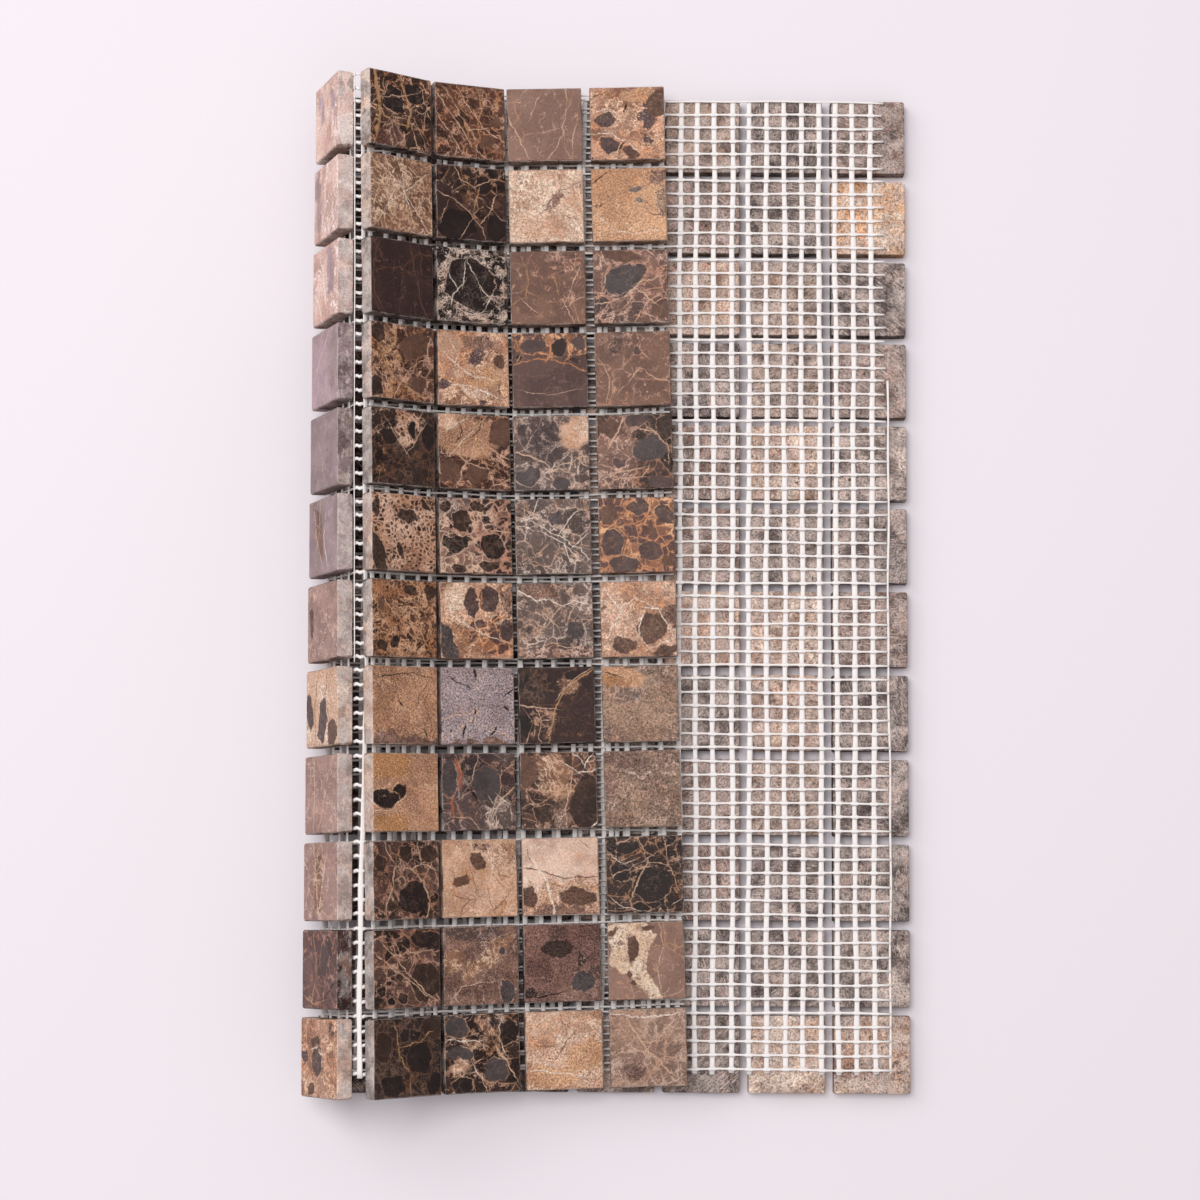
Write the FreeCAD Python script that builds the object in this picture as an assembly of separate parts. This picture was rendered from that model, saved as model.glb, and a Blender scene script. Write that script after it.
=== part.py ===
import FreeCAD, Part
import math
import os

# Mosaic sheet: square marble chips, polished on one side, glued by their backs to an open net.
# Half of it lies face down with the net up. The rest is folded over, so that it shows its faces.
# Millimetres, +Z up. A row of chips runs along X, a column along Y. The far end is +Y.

# Chips and the joints between them
CHIP_SIDE = 23.0
CHIP_THICKNESS = 5.0
CHIP_ARRIS = 0.4
JOINT = 2.4
ROWS = 12
FLAT_COLUMNS = 6

# Net: flat wide strands along Y lie on the chips' backs, thin strands along X lie over them
WIDE_STRAND_WIDTH = 1.55
WIDE_STRAND_THICKNESS = 0.3
WIDE_STRAND_SPACING = 5.3
FIRST_WIDE_STRAND = 10.9
THIN_STRAND_WIDTH = 0.65
THIN_STRAND_THICKNESS = 0.3
THIN_STRAND_SPACING = 4.15
NET_SIDE_MARGIN = 6.5
NET_NEAR_MARGIN = 7.0
NET_FAR_MARGIN = 0.1
STRAND_STUB = 1.0
GLUE_FILM = 0.2
CROSSING_GAP = 0.1

# Fold: angle of the net line, in degrees above +X, over each column that has left the floor.
# The first column lifts, the second rises, the third falls, the fifth runs out and the last lies
# level. The fourth takes the angle that brings the flap down onto the net below it.
LIFT_ANGLE = 169.0
FAR_RISE_ANGLE = 68.0
FAR_FALL_ANGLE = -40.0
FAR_RUN_OUT_ANGLE = -1.0
NEAR_RISE_ANGLE = 57.5
NEAR_FALL_ANGLE = -35.5
NEAR_RUN_OUT_ANGLE = -7.0
FOLDED_COLUMNS = 6
FAR_RIDGE_JOINT = 2.0
NEAR_RIDGE_JOINT = 3.6
FLAP_SKEW_ANGLE = 1.72
REST_GAP = 0.1

PITCH = CHIP_SIDE + JOINT
SHEET_LENGTH = ROWS * PITCH - JOINT
FAR_ROW_Y = (SHEET_LENGTH - CHIP_SIDE) / 2
THIN_STRAND_HEIGHT = GLUE_FILM + WIDE_STRAND_THICKNESS + CROSSING_GAP
NET_THICKNESS = THIN_STRAND_HEIGHT + THIN_STRAND_THICKNESS
FLAT_END = FLAT_COLUMNS * PITCH - JOINT
FLAP_BACK_HEIGHT = CHIP_THICKNESS + 2 * NET_THICKNESS + REST_GAP
FLAP_SKEW = math.tan(math.radians(FLAP_SKEW_ANGLE))
SHEET_WIDTH = (FLAT_COLUMNS + FOLDED_COLUMNS) * PITCH - JOINT


def step(point, angle, distance):
    """Point reached from another by going a distance at an angle in degrees."""
    turn = math.radians(angle)
    return (point[0] + distance * math.cos(turn), point[1] + distance * math.sin(turn))


def fold_line(rise, fall, landing, run_out, ridge_joint):
    """Net line in XZ from the end of the flat part on: two points for each folded column."""
    angles = [LIFT_ANGLE, rise, fall, landing, run_out, 0.0]
    gaps = [JOINT, JOINT, ridge_joint, JOINT, JOINT, JOINT]
    point = (-FLAT_END, CHIP_THICKNESS)
    before = 180.0
    line = [point]
    for angle, gap in zip(angles, gaps):
        # The first joint stays flat, the others lie halfway between their neighbours.
        joint_angle = before if len(line) == 1 else (before + angle) / 2
        point = step(point, joint_angle, gap)
        line.append(point)
        point = step(point, angle, CHIP_SIDE)
        line.append(point)
        before = angle
    return line


def landed_line(rise, fall, run_out, ridge_joint):
    """Fold line whose last column lies level on the net below it, found by halving."""
    steep, shallow = -80.0, 10.0
    for _ in range(50):
        landing = (steep + shallow) / 2
        line = fold_line(rise, fall, landing, run_out, ridge_joint)
        if line[-1][1] < FLAP_BACK_HEIGHT:
            steep = landing
        else:
            shallow = landing
    return line


FAR_LINE = landed_line(FAR_RISE_ANGLE, FAR_FALL_ANGLE, FAR_RUN_OUT_ANGLE, FAR_RIDGE_JOINT)
NEAR_LINE = landed_line(NEAR_RISE_ANGLE, NEAR_FALL_ANGLE, NEAR_RUN_OUT_ANGLE, NEAR_RIDGE_JOINT)


def mix(far, near, y):
    """Point of the net line at a place along the fold, between its far and near profiles."""
    share = (FAR_ROW_Y - y) / (2 * FAR_ROW_Y)
    return tuple(a + (b - a) * share for a, b in zip(far, near))


def skewed(point, y):
    """Place in space of a point of the folded part, which runs slightly askew."""
    x, z = point
    return FreeCAD.Vector(x, y + FLAP_SKEW * (x + FLAT_END), z)


def line_at(y):
    """Net line of the folded part at a place along the fold."""
    return [mix(far, near, y) for far, near in zip(FAR_LINE, NEAR_LINE)]


def frame_on(start, along, across):
    """Placement with X along the net line, Y along the fold and Z out of the chip's face."""
    along.normalize()
    normal = along.cross(across)
    normal.normalize()
    side = normal.cross(along)
    return FreeCAD.Placement(FreeCAD.Matrix(
        along.x, side.x, normal.x, start.x,
        along.y, side.y, normal.y, start.y,
        along.z, side.z, normal.z, start.z,
        0, 0, 0, 1))


def folded_place(first, second, share, y):
    """Placement on the folded net line, at a share of the way between two of its points."""
    def at(place_y):
        a, b = (mix(FAR_LINE[i], NEAR_LINE[i], place_y) for i in (first, second))
        return tuple(p + (q - p) * share for p, q in zip(a, b))

    a, b = (skewed(mix(FAR_LINE[i], NEAR_LINE[i], y), y) for i in (first, second))
    across = skewed(at(FAR_ROW_Y), FAR_ROW_Y) - skewed(at(-FAR_ROW_Y), -FAR_ROW_Y)
    return frame_on(skewed(at(y), y), b - a, across)


def flat_place(distance, y):
    """Placement on the flat part of the net line, at a distance from the sheet's free edge."""
    start = FreeCAD.Vector(-distance, y, CHIP_THICKNESS)
    return frame_on(start, FreeCAD.Vector(-1, 0, 0), FreeCAD.Vector(0, 1, 0))


def chip():
    """One chip, its back centred on the origin and its polished face up, with eased edges."""
    half = CHIP_SIDE / 2
    block = Part.makeBox(CHIP_SIDE, CHIP_SIDE, CHIP_THICKNESS, FreeCAD.Vector(-half, -half, 0))
    face_edges = [edge for edge in block.Edges if edge.BoundBox.ZMin > CHIP_THICKNESS / 2]
    return block.makeChamfer(CHIP_ARRIS, face_edges)


def placed(shape, placement):
    """Copy of a shape moved to a placement."""
    return shape.transformed(placement.Matrix, copy=True)


def chip_column(number):
    """All chips of one column, counted from the free edge of the flat part."""
    shape = chip()
    chips = []
    for row in range(ROWS):
        y = FAR_ROW_Y - row * PITCH
        if number < FLAT_COLUMNS:
            place = flat_place(number * PITCH + CHIP_SIDE / 2, y)
        else:
            first = 1 + 2 * (number - FLAT_COLUMNS)
            place = folded_place(first, first + 1, 0.5, y)
        chips.append(placed(shape, place))
    return chips


def beside(line, distance):
    """Line beside the net line, on the side away from the chips, with mitred corners."""
    result = []
    for i, (x, z) in enumerate(line):
        before = line[max(i - 1, 0)]
        after = line[min(i + 1, len(line) - 1)]
        angles = [math.atan2(b[1] - a[1], b[0] - a[0]) for a, b in ((before, line[i]), (line[i], after)) if a != b]
        middle = math.atan2(sum(math.sin(a) for a in angles), sum(math.cos(a) for a in angles))
        reach = distance / math.cos(middle - angles[0])
        result.append((x + reach * math.sin(middle), z - reach * math.cos(middle)))
    return result


def thin_strand(y):
    """One strand across the sheet: flat at first, then round the fold in its skewed plane."""
    line = line_at(y)
    outline = beside(line, THIN_STRAND_HEIGHT) + beside(line, NET_THICKNESS)[::-1]
    near_side = y - THIN_STRAND_WIDTH / 2
    corners = [skewed(point, near_side) for point in outline]
    folded = Part.Face(Part.makePolygon(corners + corners[:1])).extrude(FreeCAD.Vector(0, THIN_STRAND_WIDTH, 0))
    flat = Part.makeBox(FLAT_END - NET_SIDE_MARGIN, THIN_STRAND_WIDTH, THIN_STRAND_THICKNESS,
                        FreeCAD.Vector(-FLAT_END, near_side, CHIP_THICKNESS + THIN_STRAND_HEIGHT))
    return flat.fuse(folded).removeSplitter().Solids[0]


def thin_strands():
    """Strands across the sheet, from its far edge to short of its near edge."""
    y = SHEET_LENGTH / 2 - NET_FAR_MARGIN - THIN_STRAND_WIDTH / 2
    last = -SHEET_LENGTH / 2 + NET_NEAR_MARGIN
    strands = []
    while y > last:
        strands.append(thin_strand(y))
        y -= THIN_STRAND_SPACING
    return strands


def wide_strand(place, length):
    """One flat strand along the fold, on the side of the net line away from the chips."""
    bar = Part.makeBox(WIDE_STRAND_WIDTH, length, WIDE_STRAND_THICKNESS,
                       FreeCAD.Vector(-WIDE_STRAND_WIDTH / 2, -length / 2, -GLUE_FILM - WIDE_STRAND_THICKNESS))
    return placed(bar, place)


def wide_strands():
    """Strands along the fold. One that would lie across a bend keeps to the flat beside it."""
    far_y = SHEET_LENGTH / 2
    near_y = -SHEET_LENGTH / 2 + NET_NEAR_MARGIN - STRAND_STUB
    middle = (far_y + near_y) / 2
    length = far_y - near_y
    half = WIDE_STRAND_WIDTH / 2
    distance = FIRST_WIDE_STRAND
    strands = []
    while distance < SHEET_WIDTH - half:
        column, offset = divmod(distance, PITCH)
        first = 1 + 2 * (int(column) - FLAT_COLUMNS)
        if distance < FLAT_END:
            place = flat_place(distance, middle)
        elif offset <= CHIP_SIDE:
            kept = min(max(offset, half), CHIP_SIDE - half)
            place = folded_place(first, first + 1, kept / CHIP_SIDE, middle)
        else:
            place = folded_place(first + 1, first + 2, 0.5, middle)
        strands.append(wide_strand(place, length))
        distance += WIDE_STRAND_SPACING
    return strands


def main():
    nodes = {f"tile_column_{n + 1:02d}": chip_column(n) for n in range(FLAT_COLUMNS + FOLDED_COLUMNS)}
    nodes["net_wide_strands"] = wide_strands()
    nodes["net_thin_strands"] = thin_strands()

    box = Part.makeCompound([solid for solids in nodes.values() for solid in solids]).BoundBox
    shift = FreeCAD.Vector(-(box.XMin + box.XMax) / 2, -(box.YMin + box.YMax) / 2, -box.ZMin)
    os.makedirs("parts", exist_ok=True)
    for name, solids in nodes.items():
        shape = Part.makeCompound(solids)
        shape.translate(shift)
        shape.exportStep(f"parts/{name}.step")
    print("size", round(box.XLength, 2), round(box.YLength, 2), round(box.ZLength, 2))
    print("shift", round(shift.x, 3), round(shift.y, 3), round(shift.z, 3))


main()
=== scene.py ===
import math
import random
from functools import partial

import bpy
import numpy as np
from mathutils import Matrix, Vector


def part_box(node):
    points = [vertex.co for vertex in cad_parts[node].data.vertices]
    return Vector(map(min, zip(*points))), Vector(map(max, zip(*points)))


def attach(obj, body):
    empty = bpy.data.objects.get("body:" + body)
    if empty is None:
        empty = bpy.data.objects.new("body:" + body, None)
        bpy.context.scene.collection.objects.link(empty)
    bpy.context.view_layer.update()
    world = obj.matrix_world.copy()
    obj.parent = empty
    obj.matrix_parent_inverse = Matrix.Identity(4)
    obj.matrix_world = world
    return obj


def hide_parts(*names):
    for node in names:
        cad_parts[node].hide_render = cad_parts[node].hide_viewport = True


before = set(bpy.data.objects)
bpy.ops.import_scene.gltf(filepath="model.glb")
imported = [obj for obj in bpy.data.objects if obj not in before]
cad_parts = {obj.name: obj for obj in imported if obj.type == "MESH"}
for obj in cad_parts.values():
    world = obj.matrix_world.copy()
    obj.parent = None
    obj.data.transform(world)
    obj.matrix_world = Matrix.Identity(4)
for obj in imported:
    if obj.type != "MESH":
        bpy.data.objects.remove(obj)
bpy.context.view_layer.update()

# Mosaic sheet: square marble chips on a white net, folded over once, on a white floor. Places are
# worked out in millimetres, as for the solids, and the pieces are made in metres.
MM = 0.001

# Sizes of the sheet, in millimetres, as in the frame. The strands are a little wider here, because
# a tube of few sides is narrower than its width.
CHIP_SIDE = 23.0
CHIP_THICKNESS = 5.0
JOINT = 2.4
ROWS = 12
FLAT_COLUMNS = 6
FOLDED_COLUMNS = 6
WIDE_STRAND_WIDTH = 1.6
WIDE_STRAND_THICKNESS = 0.3
WIDE_STRAND_SPACING = 5.3
FIRST_WIDE_STRAND = 10.9
THIN_STRAND_WIDTH = 0.7
THIN_STRAND_THICKNESS = 0.3
THIN_STRAND_SPACING = 4.15
NET_NEAR_MARGIN = 7.0
NET_FAR_MARGIN = 0.1
STRAND_STUB = 1.0
GLUE_FILM = 0.2
CROSSING_GAP = 0.1
LIFT_ANGLE = 169.0
FAR_RISE_ANGLE = 68.0
FAR_FALL_ANGLE = -40.0
FAR_RUN_OUT_ANGLE = -1.0
NEAR_RISE_ANGLE = 57.5
NEAR_FALL_ANGLE = -35.5
NEAR_RUN_OUT_ANGLE = -7.0
FAR_RIDGE_JOINT = 2.0
NEAR_RIDGE_JOINT = 3.6
FLAP_SKEW_ANGLE = 1.72
REST_GAP = 0.1

PITCH = CHIP_SIDE + JOINT
COLUMNS = FLAT_COLUMNS + FOLDED_COLUMNS
SHEET_LENGTH = ROWS * PITCH - JOINT
SHEET_WIDTH = COLUMNS * PITCH - JOINT
FAR_ROW_Y = (SHEET_LENGTH - CHIP_SIDE) / 2
WIDE_STRAND_HEIGHT = GLUE_FILM + WIDE_STRAND_THICKNESS / 2
THIN_STRAND_LOW = GLUE_FILM + WIDE_STRAND_THICKNESS + CROSSING_GAP
THIN_STRAND_HEIGHT = THIN_STRAND_LOW + THIN_STRAND_THICKNESS / 2
NET_THICKNESS = THIN_STRAND_LOW + THIN_STRAND_THICKNESS
FLAT_END = FLAT_COLUMNS * PITCH - JOINT
FLAP_BACK_HEIGHT = CHIP_THICKNESS + 2 * NET_THICKNESS + REST_GAP
FLAP_SKEW = math.tan(math.radians(FLAP_SKEW_ANGLE))

# Where the free edge of the flat part lies at mid length. All places are worked out from there.
FREE_EDGE_LOW, FREE_EDGE_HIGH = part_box("tile_column_01")
ORIGIN = Vector((FREE_EDGE_HIGH.x, (FREE_EDGE_LOW.y + FREE_EDGE_HIGH.y) / 2, 0.0)) / MM


def step(point, angle, distance):
    """Point reached from another by going a distance at an angle in degrees."""
    turn = math.radians(angle)
    return (point[0] + distance * math.cos(turn), point[1] + distance * math.sin(turn))


def fold_line(rise, fall, landing, run_out, ridge_joint):
    """Line of the chips' backs in XZ from the end of the flat part on, two points a column."""
    angles = [LIFT_ANGLE, rise, fall, landing, run_out, 0.0]
    gaps = [JOINT, JOINT, ridge_joint, JOINT, JOINT, JOINT]
    point = (-FLAT_END, CHIP_THICKNESS)
    before = 180.0
    line = [point]
    for angle, gap in zip(angles, gaps):
        joint_angle = before if len(line) == 1 else (before + angle) / 2
        point = step(point, joint_angle, gap)
        line.append(point)
        point = step(point, angle, CHIP_SIDE)
        line.append(point)
        before = angle
    return line


def landed_line(rise, fall, run_out, ridge_joint):
    """Fold line whose last column lies level on the net below it, found by halving."""
    steep, shallow = -80.0, 10.0
    for _ in range(50):
        landing = (steep + shallow) / 2
        line = fold_line(rise, fall, landing, run_out, ridge_joint)
        if line[-1][1] < FLAP_BACK_HEIGHT:
            steep = landing
        else:
            shallow = landing
    return line


FAR_LINE = landed_line(FAR_RISE_ANGLE, FAR_FALL_ANGLE, FAR_RUN_OUT_ANGLE, FAR_RIDGE_JOINT)
NEAR_LINE = landed_line(NEAR_RISE_ANGLE, NEAR_FALL_ANGLE, NEAR_RUN_OUT_ANGLE, NEAR_RIDGE_JOINT)


def near_share(y):
    """How near a place along the fold is: 0 at the far row of chips, 1 at the near one."""
    return (FAR_ROW_Y - y) / (2 * FAR_ROW_Y)


def mix(far, near, y):
    """Point between the far and near profiles, at a place along the fold."""
    share = near_share(y)
    return tuple(a + (b - a) * share for a, b in zip(far, near))


def skewed(point, y):
    """Place in space of a point of the folded part, which runs slightly askew."""
    x, z = point
    return Vector((x, y + FLAP_SKEW * (x + FLAT_END), z))


def frame_on(start, along, across):
    """Matrix with X along the net line, Y along the fold and Z out of the chip's face."""
    along = along.normalized()
    normal = along.cross(across).normalized()
    side = normal.cross(along)
    place = Matrix((along, side, normal)).transposed().to_4x4()
    place.translation = start
    return place


def folded_place(first, second, share, y):
    """Matrix on the folded net line, at a share of the way between two of its points."""
    def at(place_y):
        a, b = (mix(FAR_LINE[i], NEAR_LINE[i], place_y) for i in (first, second))
        return tuple(p + (q - p) * share for p, q in zip(a, b))

    a, b = (skewed(mix(FAR_LINE[i], NEAR_LINE[i], y), y) for i in (first, second))
    across = skewed(at(FAR_ROW_Y), FAR_ROW_Y) - skewed(at(-FAR_ROW_Y), -FAR_ROW_Y)
    return frame_on(skewed(at(y), y), b - a, across)


def flat_place(distance, y):
    """Matrix on the flat part of the net line, at a distance from the sheet's free edge."""
    return frame_on(Vector((-distance, y, CHIP_THICKNESS)), Vector((-1, 0, 0)), Vector((0, 1, 0)))


def chip_place(column, row):
    """Matrix of one chip's back, counted from the free edge and from the far end."""
    y = FAR_ROW_Y - row * PITCH
    if column < FLAT_COLUMNS:
        return flat_place(column * PITCH + CHIP_SIDE / 2, y)
    first = 1 + 2 * (column - FLAT_COLUMNS)
    return folded_place(first, first + 1, 0.5, y)


# Camera: 1200 pixel frame, focal length in pixels, place in mm from the free edge at mid length
IMAGE_SIZE = 1200
FOCAL_PIXELS = 2650
SENSOR_WIDTH = 36.0
CAMERA_PLACE = (-98.198, -90.957, 801.482)
CAMERA_TURN = (0.10832, -0.00697, 0.00587)


def add_camera():
    """The camera of the photo, which looks almost straight down."""
    data = bpy.data.cameras.new("camera")
    data.sensor_width = SENSOR_WIDTH
    data.lens = FOCAL_PIXELS / IMAGE_SIZE * SENSOR_WIDTH
    camera = bpy.data.objects.new("camera", data)
    camera.location = (Vector(CAMERA_PLACE) + ORIGIN) * MM
    camera.rotation_euler = CAMERA_TURN
    bpy.context.scene.collection.objects.link(camera)
    bpy.context.scene.camera = camera


add_camera()


def tone(red, green, blue):
    """Linear colour from one written as 0 to 255."""
    def linear(value):
        v = value / 255
        return v / 12.92 if v <= 0.04045 else ((v + 0.055) / 1.055) ** 2.4

    return (linear(red), linear(green), linear(blue), 1.0)


class Graph:
    """Short calls for making shader nodes."""

    def __init__(self, tree):
        self.tree = tree

    def feed(self, node, inputs):
        """Links or sets inputs of a node."""
        for key, value in inputs.items():
            socket = node.inputs[key]
            if isinstance(value, bpy.types.NodeSocket):
                self.tree.links.new(value, socket)
            else:
                socket.default_value = value

    def add(self, kind, inputs, **settings):
        node = self.tree.nodes.new(kind)
        for name, value in settings.items():
            setattr(node, name, value)
        self.feed(node, inputs)
        return node

    def math(self, operation, a, b=0.0, c=0.0):
        return self.add("ShaderNodeMath", {0: a, 1: b, 2: c}, operation=operation).outputs[0]

    def vector(self, operation, a, b=(0.0, 0.0, 0.0)):
        return self.add("ShaderNodeVectorMath", {0: a, 1: b}, operation=operation).outputs[0]

    def dot(self, a, b):
        node = self.add("ShaderNodeVectorMath", {0: a, 1: b}, operation="DOT_PRODUCT")
        return node.outputs["Value"]

    def vector_length(self, a):
        return self.add("ShaderNodeVectorMath", {0: a}, operation="LENGTH").outputs["Value"]

    def scaled(self, a, factor):
        node = self.add("ShaderNodeVectorMath", {0: a, "Scale": factor}, operation="SCALE")
        return node.outputs[0]

    def smooth(self, value, low, high, to_low=0.0, to_high=1.0):
        node = self.add("ShaderNodeMapRange", {0: value, 1: low, 2: high, 3: to_low, 4: to_high},
                        interpolation_type="SMOOTHSTEP")
        return node.outputs[0]

    def noise(self, place, scale, detail=2.0, rough=0.5, colour=False):
        node = self.add("ShaderNodeTexNoise", {"Vector": place, "Scale": scale, "Detail": detail,
                                               "Roughness": rough})
        return node.outputs["Color" if colour else "Fac"]

    def edges(self, place, scale):
        return self.add("ShaderNodeTexVoronoi", {"Vector": place, "Scale": scale},
                        feature="DISTANCE_TO_EDGE").outputs["Distance"]

    def blend(self, share, a, b):
        node = self.add("ShaderNodeMix", {0: share, 6: a, 7: b}, data_type="RGBA")
        return node.outputs[2]

    def attribute(self, name, output):
        return self.add("ShaderNodeAttribute", {}, attribute_name=name).outputs[output]

    def parts(self, colour):
        return list(self.add("ShaderNodeSeparateColor", {0: colour}).outputs)

    def moved(self, place, noise, reach):
        """A place moved about by a colour noise, by about a fifth of the reach."""
        centred = self.vector("SUBTRACT", noise, (0.5, 0.5, 0.5))
        return self.vector("ADD", place, self.scaled(centred, reach))

    def product(self, *values):
        result = values[0]
        for value in values[1:]:
            result = self.math("MULTIPLY", result, value)
        return result

    def line(self, distance, width):
        """A line where a distance is small, with a faint glow beside it."""
        core_in, core_out = (self.math("MULTIPLY", width, share) for share in (0.42, 0.86))
        core = self.smooth(distance, core_in, core_out, 1.0, 0.0)
        glow = self.smooth(distance, 0.0, self.math("MULTIPLY", width, 4.0), 0.18, 0.0)
        return self.math("MAXIMUM", core, glow)

    def group(self, tree, inputs):
        return self.add("ShaderNodeGroup", inputs, node_tree=tree).outputs


def new_group(name, places, colours, values, colours_out, values_out):
    """An empty node group, a graph to fill it, what it is given, and its output node."""
    group = bpy.data.node_groups.new(name, "ShaderNodeTree")
    sockets = (("INPUT", "Vector", places), ("INPUT", "Color", colours), ("INPUT", "Float", values),
               ("OUTPUT", "Color", colours_out), ("OUTPUT", "Float", values_out))
    for way, kind, labels in sockets:
        for label in labels:
            group.interface.new_socket(label, in_out=way, socket_type="NodeSocket" + kind)
    graph = Graph(group)
    return group, graph, graph.add("NodeGroupInput", {}).outputs, graph.add("NodeGroupOutput", {})


# Half width of the broadest band of web, as a share of a polygon's size
WEB_BAND = 0.42


def marble_group():
    """Brown marble: broken polygons between veins, a finer web, threads, clasts, grain and cracks."""
    group, g, given, result = new_group(
        "marble", ("Place",), ("Ground", "Shade", "Vein", "Warm Vein", "Clast"),
        ("Cell Scale", "Cell Tone", "Cell Vein", "Web Scale", "Web Share", "Vein Width", "Thread",
         "Thread Density", "Thread Spread", "Clast Share", "Grain", "Crack"),
        ("Color", "Vein Color"), ("Vein", "Light", "Grain"))
    place = given["Place"]
    drift = g.noise(place, 0.1, 3.0, 0.55, colour=True)
    cloud, presence, warmth = g.parts(drift)
    jitter = g.noise(place, 1.3, 2.0, 0.6, colour=True)
    bent = g.moved(place, drift, 5.0)
    ragged = g.moved(bent, jitter, 0.32)
    fine_presence, fade, swell = g.parts(g.noise(bent, 0.36, 2.0, 0.6, colour=True))
    width = g.product(given["Vein Width"], g.smooth(swell, 0.32, 0.68, 0.3, 1.8))

    ground = g.blend(g.smooth(cloud, 0.42, 0.58), given["Ground"], given["Shade"])
    cell = g.add("ShaderNodeTexVoronoi", {"Vector": ragged, "Scale": given["Cell Scale"]}, feature="F1")
    cell_tone, cell_kind, _ = g.parts(cell.outputs["Color"])
    cell_edge = g.math("DIVIDE", g.edges(ragged, given["Cell Scale"]), given["Cell Scale"])
    tone_shift = g.product(g.math("SUBTRACT", cell_tone, 0.5), given["Cell Tone"])
    # The fine web fills bands along the polygons' seams, some of them broad.
    web_start = g.math("MULTIPLY_ADD", given["Web Share"], -0.34, 0.6)
    band = g.smooth(fine_presence, web_start, g.math("ADD", web_start, 0.2), -0.1, WEB_BAND)
    past_band = g.math("MULTIPLY_ADD", cell_edge, given["Cell Scale"], g.product(band, -1.0))
    web_here = g.smooth(past_band, 0.05, -0.03)
    chosen = g.math("LESS_THAN", cell_kind, given["Clast Share"])
    clast = g.product(g.smooth(cell_edge, 0.1, 0.4), chosen, g.math("SUBTRACT", 1.0, web_here))
    vein_colour = g.blend(g.smooth(warmth, 0.42, 0.6), given["Vein"], given["Warm Vein"])
    colour = g.blend(clast, g.scaled(ground, g.math("ADD", tone_shift, 1.0)), given["Clast"])
    colour = g.blend(g.product(web_here, 0.12), colour, vein_colour)

    cell_here = g.smooth(presence, 0.36, 0.52, 0.15, 1.0)
    cell_vein = g.product(g.line(cell_edge, width), cell_here, given["Cell Vein"])

    web_edge = g.math("DIVIDE", g.edges(ragged, given["Web Scale"]), given["Web Scale"])
    web_line = g.line(web_edge, g.product(width, 0.7))
    web = g.product(web_line, web_here, g.math("MULTIPLY_ADD", clast, -0.9, 1.0))

    # Threads run in three directions, and wander with the drift.
    threads = []
    gates = (fade, fine_presence, swell)
    for turn, wander, gate in zip((-1.0, 0.0, 1.0), (cloud, presence, warmth), gates):
        angle = g.product(given["Thread Spread"], turn)
        way = g.add("ShaderNodeCombineXYZ", {0: g.math("COSINE", angle), 1: g.math("SINE", angle), 2: 0.3})
        wave = g.math("MULTIPLY_ADD", g.dot(bent, way.outputs[0]), given["Thread Density"],
                      g.product(wander, 5.0))
        distance = g.math("DIVIDE", g.math("PINGPONG", wave, 0.5), given["Thread Density"])
        threads.append(g.product(g.line(distance, width), g.smooth(gate, 0.44, 0.6)))
    thread = g.math("MAXIMUM", g.math("MAXIMUM", threads[0], threads[1]), threads[2])
    thread = g.product(thread, given["Thread"], g.math("MULTIPLY_ADD", clast, -0.6, 1.0))

    vein = g.math("MAXIMUM", g.math("MAXIMUM", cell_vein, web), thread)
    colour = g.blend(vein, colour, vein_colour)

    grain = g.noise(place, 1.7, 4.0, 0.85)
    grain_light = g.math("MULTIPLY_ADD", g.smooth(grain, 0.3, 0.7, -0.25, 0.25), given["Grain"], 1.0)
    fleck_noise = g.noise(place, 2.7, 1.0)
    fleck = g.product(g.smooth(fleck_noise, 0.6, 0.7), given["Grain"], 0.25)
    colour = g.blend(fleck, colour, vein_colour)
    pit = g.product(g.smooth(fleck_noise, 0.38, 0.28), given["Grain"], 0.35)

    crack_line = g.smooth(g.math("ABSOLUTE", g.math("SUBTRACT", warmth, 0.5)), 0.0, 0.007, 1.0, 0.0)
    crack = g.product(crack_line, g.smooth(fade, 0.56, 0.6), given["Crack"])
    light = g.product(grain_light, g.math("SUBTRACT", 1.0, pit), g.math("MULTIPLY_ADD", crack, -0.85, 1.0))
    g.feed(result, {"Color": colour, "Vein Color": vein_colour, "Vein": vein, "Light": light,
                    "Grain": grain})
    return group


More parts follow.
